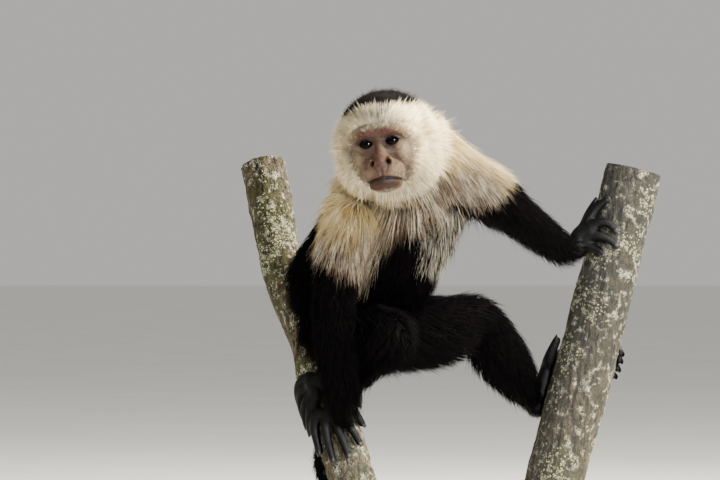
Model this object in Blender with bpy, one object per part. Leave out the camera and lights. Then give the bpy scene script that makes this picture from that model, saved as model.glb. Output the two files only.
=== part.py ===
"""White-faced capuchin, life size, stretched between two upright perches on a plain display stand.

The animal faces -Y and leans to its left, +X. Its right hand and right foot hold one perch, its left
hand and left foot the other. The origin is the middle of the stand's underside. Lengths are
millimetres, turned to metres where a mesh is made. The solids reach to the tips of the coat.
"""
import math

import bmesh
import bpy
from mathutils import Matrix, Vector

MM = 0.001

# ---- fits ----
JOINT_CUT = 0.5          # thickness of the cut that parts the body at a joint
CLEARANCE = 0.5          # air between a piece and what it touches

# ---- stand ----
BASE_LENGTH = 380.0
BASE_WIDTH = 280.0
BASE_THICKNESS = 18.0
BASE_EDGE = 3.0
ROD_RADIUS = 6.0
ROD_IN_BASE = 10.0
ROD_IN_PERCH = 16.0
PERCH_FOOT_LEVEL = 64.0

# ---- perches: x, y, z, radius up the middle of each cut trunk ----
PERCH_RIGHT = [(-52, -37, 26, 25), (-63.9, -25, 64, 25), (-86.2, -3, 134.9, 24.6), (-103.4, 19, 187.1, 24.6),
               (-119.7, 41, 237.7, 24.6), (-131.8, 63, 285.6, 24.4), (-161.6, 95, 357.9, 24.4),
               (-185.6, 143, 473.2, 24)]
PERCH_LEFT = [(101, 75, 16, 32), (112.3, 77, 56.3, 32), (156, 83, 216.7, 31.5), (196.6, 89, 371, 31),
              (219.9, 95, 466.9, 30)]
PERCH_SIDES = 10

# ---- head: middle between the eyes, a little behind the face, and the way it is turned ----
HEAD_AT = (-52.3, -101.5, 493.5)
HEAD_YAW = -10.0
HEAD_ROLL = -8.5
HEAD_PITCH = 3.0
SIDES = {"left": 1, "right": -1}
EYE_RADIUS = 9.5
EYE_SPACING = 27.6
EYE_DEPTH = -34.5
EAR_MIDDLE = (50.0, 4.0, -3.0)
EAR_HALF_SIZES = (7.0, 10.0, 14.0)
EYE_OPENING = (8.0, 9.0, 5.0)            # half sizes of the gap between the lids
OPENING_FORWARD = 14.0                   # from the eye's middle to the gap's

# ---- trunk: middle line and radius ----
SPINE = [(-47, -80, 470, 42), (-36, -56, 451, 46), (-38.6, -43, 427.5, 52), (-62, -21, 391, 56),
         (-94, 19, 351, 60), (-91.6, 23, 312, 52), (-88, 26, 292, 34)]
BACK = [(-64, -38, 441, 41), (-84, 20, 388, 50), (-97, 23, 350, 58)]
SHOULDER_SLOPE = [(-16, -62, 495, 32), (2, -52, 480, 32), (18, -42, 466, 31)]
FLANK_FOLD = [(16, -20, 440, 30), (-6, -11, 392, 32), (-26, 1, 348, 30)]

# ---- limbs: x, y, z, radius from root to end ----
ARM_RIGHT = [(-86, -66, 416, 30), (-99, -74, 375, 27), (-106, -73, 318, 25), (-103, -58, 268, 24),
             (-97, -34, 222, 19), (-94, -16, 204, 14)]
ARM_LEFT = [(8, -42, 465, 36), (51, -9, 446, 33), (84, 19, 422, 26), (115, 46, 399, 23), (140, 66, 382, 19),
            (156, 70, 382, 13)]
LEG_RIGHT = [(-108, 12, 300, 40), (-82, -22, 296, 38), (-48, -60, 287, 30), (-67, -38, 267, 24),
             (-84, -14, 247, 18.5), (-92, 0, 233, 14), (-93, 5, 226, 12)]
LEG_LEFT = [(-50, 24, 293, 43), (-25, 28, 292, 42), (8, 35, 295, 39), (47, 45, 306, 27), (69, 62, 272, 33),
            (90, 78, 243, 26), (105, 91, 221, 16), (114, 98, 208, 12)]
TAIL_ROOT = [(-98, 55, 296, 17), (-104, 84, 277, 14), (-109, 106, 246, 12), (-115, 96, 204, 11),
             (-120, 66, 172, 10.5), (-122, 42, 148, 10)]
TAIL_RADIUS = 10.0
TAIL_TAPER = 1.5                         # loss of radius along the wrapped part
TAIL_LIFT = 0.8                          # air between the wrapped tail and the bark
TAIL_WRAP = (-128, -480, 132, 82)        # first and last angle, first and last level on the right perch
WRAP_STEPS = 14

# ---- grips: angle round the perch from its front, level, lift off the bark, radius ----
HAND_RIGHT = [[(20, 212, 14, 11), (8, 200, 9, 10), (2, 190, 8, 9)],
              [(26, 203, 9, 8), (42, 199, 6, 6), (58, 192, 5, 5), (72, 183, 4.5, 4.5)],
              [(14, 196, 8, 7), (24, 184, 6.5, 6), (34, 172, 5.5, 5), (40, 162, 5, 4.5)],
              [(2, 193, 8, 7), (4, 178, 6.5, 6), (6, 165, 5.5, 5), (7, 152, 5, 4.5)],
              [(-10, 194, 8, 7), (-20, 180, 7, 6), (-25, 166, 5.5, 5), (-27, 154, 5, 4.5)],
              [(-20, 198, 8, 7), (-42, 190, 7, 5.5), (-52, 178, 5.5, 5), (-56, 167, 5, 4.5)]]
HAND_LEFT = [[(-66, 383, 13, 12), (-58, 388, 10, 11), (-50, 390, 8, 9)],
             [(-68, 395, 11, 7.5), (-72, 406, 9, 6), (-73, 415, 7, 5), (-70, 423, 5, 4.5)],
             [(-62, 399, 10, 8), (-58, 412, 8, 6), (-50, 421, 6.5, 5), (-40, 427, 5, 4.5)],
             [(-52, 396, 9, 8), (-38, 402, 8, 6), (-25, 403, 6.5, 5), (-12, 398, 5, 4.5)],
             [(-50, 387, 9, 8), (-34, 388, 8, 6), (-20, 387, 6, 5), (-6, 383, 5, 4.5)],
             [(-55, 378, 9, 8), (-46, 376, 7, 6), (-36, 374, 5.5, 5), (-27, 372, 5, 4.5)]]
FOOT_RIGHT = [[(62, 222, 11, 12), (35, 224, 10, 12), (8, 228, 9, 11.5), (-14, 229, 8, 10)],
              [(48, 219, 9, 9), (76, 214, 8, 7), (98, 208, 6, 5.5)],
              [(-20, 236, 8, 7), (-48, 236, 6.5, 5.5), (-70, 230, 5.5, 5), (-88, 222, 5, 4.5)],
              [(-22, 229, 8, 7), (-50, 227, 6.5, 5.5), (-72, 220, 5.5, 5), (-90, 211, 5, 4.5)],
              [(-20, 222, 8, 7), (-46, 217, 6.5, 5.5), (-66, 209, 5.5, 5), (-82, 200, 5, 4.5)],
              [(-18, 216, 8, 7), (-40, 208, 6.5, 5.5), (-56, 199, 5.5, 5), (-68, 190, 5, 4.5)]]
FOOT_LEFT = [[(-117, 210, 9, 12), (-121, 232, 8, 12), (-138, 252, 8, 12), (-160, 264, 8, 11)],
             [(-112, 240, 9, 9), (-100, 251, 8, 7.5), (-91, 262, 7, 6), (-86, 272, 5.5, 5)],
             [(-164, 274, 8, 7), (-196, 282, 6.5, 5.5), (-228, 283, 5.5, 5), (-253, 277, 5, 4.5)],
             [(-166, 267, 8, 7), (-200, 274, 6.5, 5.5), (-234, 274, 5.5, 5), (-258, 269, 5, 4.5)],
             [(-166, 260, 8, 7), (-200, 264, 6.5, 5.5), (-234, 265, 5.5, 5), (-257, 260, 5, 4.5)],
             [(-164, 253, 8, 7), (-196, 254, 6.5, 5.5), (-226, 256, 5.5, 5), (-248, 252, 5, 4.5)]]

# ---- head masses in the head's own frame: middle, half sizes ----
HEAD_MASSES = [((0, 4, 6), (50, 51, 47)),            # crown and back of the skull
               ((25, -4, -20), (32, 35, 36)),        # ruff on each cheek
               ((-25, -4, -20), (32, 35, 36)),
               ((0, -20, -6), (31, 27, 34)),         # flat of the face
               ((16, -30, -14), (13, 14, 13)),       # cheekbones
               ((-16, -30, -14), (13, 14, 13)),
               ((0, -37, -36), (23, 21, 19)),        # muzzle
               ((0, -38, -48), (14, 15, 9)),         # chin
               ((0, -46, -24), (10, 11, 8))]         # nose pad
BROW = [(-26, -32, 6, 6.5), (-14, -39, 12, 7.5), (0, -40, 12, 7), (14, -39, 12, 7.5), (26, -32, 6, 6.5)]
NOSE_BRIDGE = [(0, -39, 8, 5.5), (0, -43, -6, 5.5), (0, -48, -20, 7)]

# ---- mesh fineness: voxel size and triangles kept ----
BODY_MESH = (2.6, 1660)
LIMB_MESH = (2.2, 550)
TAIL_MESH = (2.6, 260)

# ---- finishes: name, colour, roughness, metalness where it is metal ----
BLACK_FUR = ("black fur", "0d0c0e", 0.75)
CREAM_FUR = ("cream fur", "c9b894", 0.8)
FACE_SKIN = ("face skin", "b98d7c", 0.6)
EYE_BROWN = ("eye brown", "1c0e09", 0.1)
BARK = ("bark", "7d745f", 0.9)
STAND_PAINT = ("stand paint", "26272a", 0.45)
STEEL = ("rod steel", "9a9c9e", 0.35, 1.0)

# ---- where each body is parted: a point of the cut, the way it faces, its radius ----
CUTS = {"core": [((-40, -62, 462), (-0.25, -0.75, 0.6), 130), ((-34, -44, 440), (-0.15, -0.5, 0.8), 130)],
        "arm_right": [(ARM_RIGHT[2][:3], (0, 0.12, -1), 45), (ARM_RIGHT[4][:3], (0.1, 0.5, -1), 40)],
        "arm_left": [(ARM_LEFT[2][:3], (1, 0.85, -0.7), 45), (ARM_LEFT[4][:3], (1, 0.6, -0.5), 36)],
        "leg_right": [((-70, -30, 274), (0.1, -0.3, -0.95), 110), ((-90, -3, 234), (-0.35, 0.75, -0.4), 26)],
        "leg_left": [(LEG_LEFT[3][:3], (1, 0.44, -0.3), 60), ((108, 93, 226), (0.85, 0.1, -0.3), 60)]}
TAIL_CUTS = (2, 5, 13)                   # stations of the tail's line where it is parted
TAIL_CUT_RADIUS = 20

# ---- the nodes each body is parted into: a place near the middle of each, and its finish ----
NODES = {"core": {"head": ((-52, -105, 493), CREAM_FUR), "neck": ((-40, -65, 455), CREAM_FUR),
                  "trunk": ((-75, 0, 370), BLACK_FUR)},
         "arm_right": {"upper_arm_right": ((-98, -74, 370), BLACK_FUR),
                       "forearm_right": ((-102, -56, 268), BLACK_FUR),
                       "hand_right": ((-98, -10, 185), BLACK_FUR)},
         "arm_left": {"upper_arm_left": ((48, -10, 445), CREAM_FUR),
                      "forearm_left": ((115, 46, 400), BLACK_FUR),
                      "hand_left": ((165, 62, 395), BLACK_FUR)},
         "leg_right": {"thigh_right": ((-85, -15, 295), BLACK_FUR),
                       "shin_right": ((-64, 0, 255), BLACK_FUR),
                       "foot_right": ((-115, 60, 230), BLACK_FUR)},
         "leg_left": {"thigh_left": ((-10, 30, 295), BLACK_FUR),
                      "shin_left": ((76, 66, 270), BLACK_FUR),
                      "foot_left": ((145, 110, 255), BLACK_FUR)}}
TAIL_MIDDLES = (1, 4, 9, 17)             # stations near the middle of each length of tail


# ---------------------------------------------------------------- materials and objects

def linear(channel):
    return channel / 12.92 if channel <= 0.04045 else ((channel + 0.055) / 1.055) ** 2.4


def finish(name, shade, roughness, metallic=0.0):
    made = bpy.data.materials.get(name)
    if made is None:
        made = bpy.data.materials.new(name)
        made.use_nodes = True
        shader = made.node_tree.nodes["Principled BSDF"]
        rgb = [linear(int(shade[i:i + 2], 16) / 255) for i in (0, 2, 4)]
        shader.inputs["Base Color"].default_value = (*rgb, 1.0)
        shader.inputs["Roughness"].default_value = roughness
        shader.inputs["Metallic"].default_value = metallic
    return made


def add_object(name, mesh_source):
    """A named object from a bmesh, which is freed, or from a mesh."""
    if isinstance(mesh_source, bmesh.types.BMesh):
        mesh = bpy.data.meshes.new(name)
        mesh_source.to_mesh(mesh)
        mesh_source.free()
    else:
        mesh = mesh_source
    made = bpy.data.objects.new(name, mesh)
    bpy.context.scene.collection.objects.link(made)
    return made


def evaluated_mesh(source):
    """The object's mesh as its modifiers leave it."""
    graph = bpy.context.evaluated_depsgraph_get()
    return bpy.data.meshes.new_from_object(source.evaluated_get(graph), depsgraph=graph)


def discard(unwanted):
    bpy.data.objects.remove(unwanted, do_unlink=True)


def loose_pieces(bm):
    """The separate shells of a mesh, as lists of faces."""
    left = set(bm.faces)
    pieces = []
    while left:
        seed = left.pop()
        piece = [seed]
        queue = [seed]
        while queue:
            for edge in queue.pop().edges:
                for face in edge.link_faces:
                    if face in left:
                        left.remove(face)
                        piece.append(face)
                        queue.append(face)
        pieces.append(piece)
    return pieces


def drop_specks(mesh, smallest=40):
    """Removes shells of only a few faces, which cuts and thinning leave behind."""
    bm = bmesh.new()
    bm.from_mesh(mesh)
    bmesh.ops.dissolve_degenerate(bm, dist=1e-6, edges=bm.edges[:])
    specks = [face for piece in loose_pieces(bm) if len(piece) < smallest for face in piece]
    bmesh.ops.delete(bm, geom=specks, context='FACES')
    bm.to_mesh(mesh)
    bm.free()


# ---------------------------------------------------------------- forms

def smooth_path(stations, step=0.3):
    """Stations on a Catmull-Rom curve, spaced by a share of the radius."""
    ends = [stations[0]] + list(stations) + [stations[-1]]
    made = []
    for before, start, end, after in zip(ends, ends[1:], ends[2:], ends[3:]):
        run = math.dist(start[:3], end[:3])
        count = max(1, math.ceil(run / (step * min(start[3], end[3]))))
        for i in range(count):
            t = i / count
            made.append([0.5 * (2 * b + (c - a) * t + (2 * a - 5 * b + 4 * c - d) * t ** 2
                                + (3 * b - a - 3 * c + d) * t ** 3)
                         for a, b, c, d in zip(before, start, end, after)])
    made.append(list(stations[-1]))
    return made


def add_limb(bm, stations, frame=Matrix()):
    """A rounded limb: balls set closely along the smooth path."""
    for x, y, z, radius in smooth_path(stations):
        place = frame @ Matrix.Translation(Vector((x, y, z)) * MM)
        bmesh.ops.create_icosphere(bm, subdivisions=3 if radius > 15 else 2, radius=radius * MM, matrix=place)


def add_mass(bm, middle, half_sizes, frame=Matrix()):
    place = frame @ Matrix.Translation(Vector(middle) * MM) @ Matrix.Diagonal((*(Vector(half_sizes) * MM), 1))
    bmesh.ops.create_icosphere(bm, subdivisions=4, radius=1, matrix=place)


def fuse(name, bm, voxel, triangles):
    """The masses as one skin: remeshed, smoothed and thinned to the triangles wanted."""
    rough = add_object(name, bm)
    remesh = rough.modifiers.new("one skin", 'REMESH')
    remesh.mode = 'VOXEL'
    remesh.voxel_size = voxel * MM
    smooth = rough.modifiers.new("soften", 'SMOOTH')
    smooth.factor = 0.5
    smooth.iterations = 4
    whole = add_object(name, evaluated_mesh(rough))
    discard(rough)
    faces = sum(len(face.vertices) - 2 for face in whole.data.polygons)
    thin = whole.modifiers.new("thin", 'DECIMATE')
    thin.ratio = triangles / faces
    thin.use_collapse_triangulate = True
    made = add_object(name, evaluated_mesh(whole))
    drop_specks(made.data)
    discard(whole)
    return made


def perch_point(perch, angle, level, lift):
    """A point off the perch's bark. The angle turns from the front, -Y, towards +X."""
    low, high = next((a, b) for a, b in zip(perch, perch[1:]) if level <= b[2] or b is perch[-1])
    share = (level - low[2]) / (high[2] - low[2])
    x, y, z, radius = [a + (b - a) * share for a, b in zip(low, high)]
    along = (Vector(high[:3]) - Vector(low[:3])).normalized()
    front = Vector((0, -1, 0))
    front = (front - along * front.dot(along)).normalized()
    side = along.cross(front)
    turn = math.radians(angle)
    reach = radius + lift
    return Vector((x, y, z)) + (front * math.cos(turn) + side * math.sin(turn)) * reach


def grip(perch, rays):
    """Paths of a palm or sole and its digits, laid round the perch."""
    return [[(*perch_point(perch, angle, level, lift), radius) for angle, level, lift, radius in ray]
            for ray in rays]


# ---------------------------------------------------------------- cutting

def grown(source, gap):
    """A wider copy of a solid, used as a cutter."""
    cutter = add_object(source.name + "_cutter", source.data.copy())
    cutter.hide_render = True
    cutter.display_type = 'WIRE'
    wider = cutter.modifiers.new("gap", 'DISPLACE')
    wider.strength = gap * MM
    wider.mid_level = 0
    return cutter


def cut(target, cutter):
    """Takes the cutter out of the target and throws the cutter away."""
    difference = target.modifiers.new("cut", 'BOOLEAN')
    difference.operation = 'DIFFERENCE'
    difference.solver = 'EXACT'
    difference.object = cutter
    mesh = evaluated_mesh(target)
    target.modifiers.clear()
    target.data = mesh
    drop_specks(mesh)
    discard(cutter)


def clear(target, *neighbours):
    for neighbour in neighbours:
        cut(target, grown(neighbour, CLEARANCE))


def slit(target, point, direction, radius):
    """A thin round cut across a limb."""
    bm = bmesh.new()
    turn = Vector(direction).to_track_quat('Z', 'Y').to_matrix().to_4x4()
    bmesh.ops.create_cone(bm, cap_ends=True, segments=24, radius1=radius * MM, radius2=radius * MM,
                          depth=JOINT_CUT * MM, matrix=Matrix.Translation(Vector(point) * MM) @ turn)
    cutter = add_object("slit_cutter", bm)
    cutter.hide_render = True
    cutter.display_type = 'WIRE'
    cut(target, cutter)


def part_body(source, names):
    """Splits a slit body into named nodes, each shell going to the name whose place is nearest."""
    bm = bmesh.new()
    bm.from_mesh(source.data)
    pieces = sorted(loose_pieces(bm), key=len, reverse=True)[:len(names)]
    for name, (place, look) in names.items():
        def distance(piece):
            middle = sum((face.calc_center_median() * face.calc_area() for face in piece), Vector())
            return (middle / sum(face.calc_area() for face in piece) - Vector(place) * MM).length
        nearest = min(pieces, key=distance)
        pieces.remove(nearest)
        kept = {face.index for face in nearest}
        shell = bm.copy()
        others = [face for face in shell.faces if face.index not in kept]
        bmesh.ops.delete(shell, geom=others, context='FACES')
        settle(add_object(name, shell), look)
    bm.free()
    discard(source)


def settle(made, look, crease=40.0):
    """Gives a finished solid its material and smooth shading."""
    made.data.materials.clear()
    made.data.materials.append(finish(*look))
    made.data.shade_smooth()
    made.data.set_sharp_from_angle(angle=math.radians(crease))
    return made


# ---------------------------------------------------------------- stand and perches

def make_perch(name, stations):
    """A cut length of trunk: rings along its bent middle line, sawn level at the foot."""
    path = smooth_path(stations, step=1.7)
    bm = bmesh.new()
    rings = []
    for i, (x, y, z, radius) in enumerate(path):
        before = Vector(path[max(i - 1, 0)][:3])
        after = Vector(path[min(i + 1, len(path) - 1)][:3])
        along = (after - before).normalized()
        front = Vector((0, -1, 0))
        front = (front - along * front.dot(along)).normalized()
        side = along.cross(front)
        ring = []
        for k in range(PERCH_SIDES):
            turn = math.tau * k / PERCH_SIDES
            swell = radius * (1 + 0.03 * math.sin(2 * turn + 0.021 * z) + 0.015 * math.sin(0.06 * z))
            out = (front * math.cos(turn) + side * math.sin(turn)) * swell
            ring.append(bm.verts.new((Vector((x, y, z)) + out) * MM))
        rings.append(ring)
    for low, high in zip(rings, rings[1:]):
        for k in range(PERCH_SIDES):
            n = (k + 1) % PERCH_SIDES
            bm.faces.new((low[k], low[n], high[n], high[k]))
    bm.faces.new(reversed(rings[0]))
    bm.faces.new(rings[-1])
    sawn = bmesh.ops.bisect_plane(bm, geom=bm.verts[:] + bm.edges[:] + bm.faces[:], clear_inner=True,
                                  plane_co=(0, 0, PERCH_FOOT_LEVEL * MM), plane_no=(0, 0, 1))
    rim = [edge for edge in sawn["geom_cut"] if isinstance(edge, bmesh.types.BMEdge)]
    bmesh.ops.contextual_create(bm, geom=rim)
    bmesh.ops.recalc_face_normals(bm, faces=bm.faces[:])
    return settle(add_object(name, bm), BARK)


def perch_foot(stations):
    """The middle of a perch where it is sawn level."""
    low, high = next((a, b) for a, b in zip(stations, stations[1:]) if a[2] <= PERCH_FOOT_LEVEL < b[2] + 1)
    share = (PERCH_FOOT_LEVEL - low[2]) / (high[2] - low[2])
    return [a + (b - a) * share for a, b in zip(low[:2], high[:2])]


def post(name, x, y, bottom, top, radius):
    bm = bmesh.new()
    middle = Vector((x, y, (bottom + top) / 2)) * MM
    bmesh.ops.create_cone(bm, cap_ends=True, segments=14, radius1=radius * MM, radius2=radius * MM,
                          depth=(top - bottom) * MM, matrix=Matrix.Translation(middle))
    return add_object(name, bm)


def make_stand(perches):
    bm = bmesh.new()
    size = Vector((BASE_LENGTH, BASE_WIDTH, BASE_THICKNESS)) * MM
    middle = Matrix.Translation((0, 0, size.z / 2))
    bmesh.ops.create_cube(bm, size=1, matrix=middle @ Matrix.Diagonal((*size, 1)))
    upper = [edge for edge in bm.edges if sum(vert.co.z for vert in edge.verts) > 1e-6]
    bmesh.ops.bevel(bm, geom=upper, offset=BASE_EDGE * MM, segments=2, affect='EDGES', profile=0.5)
    base = add_object("stand_base", bm)
    for side, (perch, stations) in perches.items():
        x, y = perch_foot(stations)
        bottom = BASE_THICKNESS - ROD_IN_BASE
        top = PERCH_FOOT_LEVEL + ROD_IN_PERCH
        hole = ROD_RADIUS + CLEARANCE
        cut(base, post("hole_cutter", x, y, bottom - CLEARANCE, BASE_THICKNESS + 5, hole))
        cut(perch, post("hole_cutter", x, y, PERCH_FOOT_LEVEL - 5, top + CLEARANCE, hole))
        settle(post("stand_rod_" + side, x, y, bottom, top, ROD_RADIUS), STEEL)
    settle(base, STAND_PAINT)


# ---------------------------------------------------------------- animal

def head_frame():
    turn = (Matrix.Rotation(math.radians(HEAD_YAW), 4, 'Z') @ Matrix.Rotation(math.radians(HEAD_ROLL), 4, 'Y')
            @ Matrix.Rotation(math.radians(HEAD_PITCH), 4, 'X'))
    return Matrix.Translation(Vector(HEAD_AT) * MM) @ turn


def ball(name, middle, half_sizes, frame):
    """A stretched ball with its poles front and back."""
    bm = bmesh.new()
    place = frame @ Matrix.Translation(Vector(middle) * MM) @ Matrix.Diagonal((*(Vector(half_sizes) * MM), 1))
    bmesh.ops.create_uvsphere(bm, u_segments=10, v_segments=6, radius=1,
                              matrix=place @ Matrix.Rotation(math.pi / 2, 4, 'X'))
    return add_object(name, bm)


def make_core():
    """Head, neck and trunk as one body, before it is parted."""
    bm = bmesh.new()
    head = head_frame()
    for middle, half_sizes in HEAD_MASSES:
        add_mass(bm, middle, half_sizes, head)
    add_limb(bm, BROW, head)
    add_limb(bm, NOSE_BRIDGE, head)
    for line in (SPINE, BACK, SHOULDER_SLOPE, FLANK_FOLD):
        add_limb(bm, line)
    return fuse("core", bm, *BODY_MESH)


def make_limb(name, line, perch, rays):
    """A limb and its hand or foot as one body, before it is parted."""
    bm = bmesh.new()
    add_limb(bm, line)
    paths = grip(perch, rays)
    add_limb(bm, [line[-1], paths[0][0]])
    for path in paths:
        add_limb(bm, path)
    for path in paths[1:]:
        add_limb(bm, [paths[0][-1] if path is not paths[1] else paths[0][0], path[0]])
    return fuse(name, bm, *LIMB_MESH)


def tail_line():
    first, last, high, low = TAIL_WRAP
    wrap = []
    for i in range(WRAP_STEPS + 1):
        share = i / WRAP_STEPS
        angle = first + (last - first) * share
        point = perch_point(PERCH_RIGHT, angle, high + (low - high) * share, TAIL_RADIUS + TAIL_LIFT)
        wrap.append((*point, TAIL_RADIUS - TAIL_TAPER * share))
    return TAIL_ROOT + wrap


def make_tail():
    bm = bmesh.new()
    add_limb(bm, tail_line())
    return fuse("tail", bm, *TAIL_MESH)


def part_tail(tail):
    line = tail_line()
    for i in TAIL_CUTS:
        along = Vector(line[i + 1][:3]) - Vector(line[i - 1][:3])
        slit(tail, line[i][:3], along, TAIL_CUT_RADIUS)
    part_body(tail, {"tail_%d" % (n + 1): (line[i][:3], BLACK_FUR) for n, i in enumerate(TAIL_MIDDLES)})


def main():
    for old in list(bpy.data.objects):
        discard(old)

    perch_right = make_perch("perch_right", PERCH_RIGHT)
    perch_left = make_perch("perch_left", PERCH_LEFT)

    head = head_frame()
    eyes = {}
    ears = {}
    for side, sign in SIDES.items():
        eyes[side] = ball("eye_" + side, (sign * EYE_SPACING / 2, EYE_DEPTH, 0), [EYE_RADIUS] * 3, head)
        ears[side] = ball("ear_" + side, (sign * EAR_MIDDLE[0], *EAR_MIDDLE[1:]), EAR_HALF_SIZES, head)

    core = make_core()
    arm_right = make_limb("arm_right", ARM_RIGHT, PERCH_RIGHT, HAND_RIGHT)
    arm_left = make_limb("arm_left", ARM_LEFT, PERCH_LEFT, HAND_LEFT)
    leg_right = make_limb("leg_right", LEG_RIGHT, PERCH_RIGHT, FOOT_RIGHT)
    leg_left = make_limb("leg_left", LEG_LEFT, PERCH_LEFT, FOOT_LEFT)
    tail = make_tail()

    clear(core, arm_right, arm_left, leg_right, leg_left, tail)
    clear(tail, leg_right, leg_left)
    clear(leg_right, arm_right, leg_left)
    for limb in (arm_right, leg_right, tail, core):
        clear(limb, perch_right)
    for limb in (arm_left, leg_left):
        clear(limb, perch_left)
    for side, sign in SIDES.items():
        clear(core, ears[side], eyes[side])
        gap = (sign * EYE_SPACING / 2, EYE_DEPTH - OPENING_FORWARD, 0)
        cut(core, ball("opening_cutter", gap, EYE_OPENING, head))
        settle(eyes[side], EYE_BROWN)
        settle(ears[side], FACE_SKIN)

    for body in (core, arm_right, arm_left, leg_right, leg_left):
        name = body.name
        for point, direction, radius in CUTS[name]:
            slit(body, point, direction, radius)
        part_body(body, NODES[name])
    part_tail(tail)

    make_stand({"right": (perch_right, PERCH_RIGHT), "left": (perch_left, PERCH_LEFT)})


main()
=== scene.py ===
"""The looks of a life-size white-faced capuchin, stretched between two perches on a plain display stand.

One skin covers the whole animal, grown from rounded masses along the same middle lines as the solids and
drawn in from them by the depth of the coat. Over it lies the coat, strand by strand. Lengths are in
millimetres until a mesh is made. The animal faces -Y, its left side is +X.
"""

import contextlib
import functools
import math

import bmesh
import bpy
import numpy as np
from mathutils import Matrix, Vector


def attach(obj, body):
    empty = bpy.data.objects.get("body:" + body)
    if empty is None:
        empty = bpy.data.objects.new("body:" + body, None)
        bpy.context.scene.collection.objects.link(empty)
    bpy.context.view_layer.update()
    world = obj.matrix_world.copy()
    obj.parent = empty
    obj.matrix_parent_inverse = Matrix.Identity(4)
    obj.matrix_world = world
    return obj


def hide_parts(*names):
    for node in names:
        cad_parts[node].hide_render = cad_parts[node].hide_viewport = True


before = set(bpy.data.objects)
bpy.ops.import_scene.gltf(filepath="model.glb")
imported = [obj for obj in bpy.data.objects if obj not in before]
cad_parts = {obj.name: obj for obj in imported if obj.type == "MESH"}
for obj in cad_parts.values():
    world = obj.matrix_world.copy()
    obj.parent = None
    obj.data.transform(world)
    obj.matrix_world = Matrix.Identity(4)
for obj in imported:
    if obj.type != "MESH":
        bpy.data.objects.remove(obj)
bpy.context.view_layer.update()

MM = 0.001
SEED = 20260
CAMERA_AT = (-0.07875, -4.265, 0.3906)       # metres
AIM = (0.0, 0.0, 0.38)                       # where the lamps point, in metres

# ---- perches: x, y, z, radius up the middle of each cut trunk ----
PERCH_RIGHT = [(-52, -37, 26, 25), (-63.9, -25, 64, 25), (-86.2, -3, 134.9, 24.6),
               (-103.4, 19, 187.1, 24.6), (-119.7, 41, 237.7, 24.6), (-131.8, 63, 285.6, 24.4),
               (-161.6, 95, 357.9, 24.4), (-185.6, 143, 473.2, 24)]
PERCH_LEFT = [(101, 75, 16, 32), (112.3, 77, 56.3, 32), (156, 83, 216.7, 31.5), (196.6, 89, 371, 31),
              (219.9, 95, 466.9, 30)]
PERCH_FOOT_LEVEL = 64.0
PERCH_SIDES = 120
# ---- knots in their bark: angle from the front, level, size, height ----
KNOTS_RIGHT = [(-20, 330, 9, 2.0), (60, 290, 7, 1.5), (10, 110, 8, 1.8)]
KNOTS_LEFT = [(-30, 330, 10, 2.0), (20, 180, 8, 1.6), (-60, 440, 9, 1.8)]

# ---- head: middle between the eyes, a little behind the face, and the way it is turned ----
HEAD_AT = np.array((-52.3, -101.5, 493.5))
HEAD_YAW = -10.0
HEAD_ROLL = -8.5
HEAD_PITCH = 3.0
EYE_RADIUS = 9.5
EYE_OUT = 13.8
EYE_DEPTH = -33.8
LID_REACH = 6.9
EAR_OUT = 46.0
EAR_PLACE = (7, -2)
EAR_SIZES = (3.0, 9.5, 13.0)

# ---- trunk and limbs: x, y, z, radius to the coat's tips, depth of the coat ----
SPINE = [(-47, -80, 470, 42, 10), (-36, -56, 451, 46, 12), (-38.6, -43, 427.5, 52, 13),
         (-62, -21, 391, 56, 13), (-94, 19, 351, 60, 12), (-91.6, 23, 312, 52, 12), (-88, 26, 292, 34, 9)]
BACK = [(-64, -38, 441, 41, 9), (-84, 20, 388, 50, 11), (-97, 23, 350, 58, 12)]
SHOULDER_SLOPE = [(-16, -62, 495, 32, 7), (2, -52, 480, 32, 8), (18, -42, 466, 31, 9)]
FLANK_FOLD = [(16, -20, 440, 30, 9), (-6, -11, 392, 32, 8), (-26, 1, 348, 30, 9)]
ARM_RIGHT = [(-86, -66, 416, 30, 10), (-99, -74, 375, 27, 8), (-106, -73, 318, 25, 8),
             (-103, -58, 268, 24, 8), (-97, -34, 222, 19, 6), (-94, -16, 204, 14, 3)]
ARM_LEFT = [(8, -42, 465, 36, 9), (51, -9, 446, 33, 10), (84, 19, 422, 26, 8), (115, 46, 399, 23, 7.5),
            (140, 66, 382, 19, 6), (156, 70, 382, 13, 2)]
LEG_RIGHT = [(-108, 12, 300, 40, 11), (-82, -22, 296, 38, 11), (-48, -60, 287, 30, 9), (-67, -38, 267, 24, 8),
             (-84, -14, 247, 18.5, 6), (-92, 0, 233, 14, 4), (-93, 5, 226, 12, 3)]
LEG_LEFT = [(-50, 24, 293, 43, 9), (-25, 28, 292, 42, 9), (8, 35, 295, 39, 8), (47, 45, 306, 27, 7),
            (69, 62, 272, 33, 8), (90, 78, 243, 26, 7), (105, 91, 221, 16, 4), (114, 98, 208, 12, 2)]
TAIL_ROOT = [(-98, 55, 296, 17, 7), (-104, 84, 277, 14, 6), (-109, 106, 246, 12, 5), (-115, 96, 204, 11, 5),
             (-120, 66, 172, 10.5, 4.5), (-122, 42, 148, 10, 4.5)]
TAIL_WRAP = (-128, -480, 132, 82)        # first and last angle, first and last level on the right perch
TAIL_RADIUS = 10.0
TAIL_STATIONS = 14
DIGIT_COAT = 0.7

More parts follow.
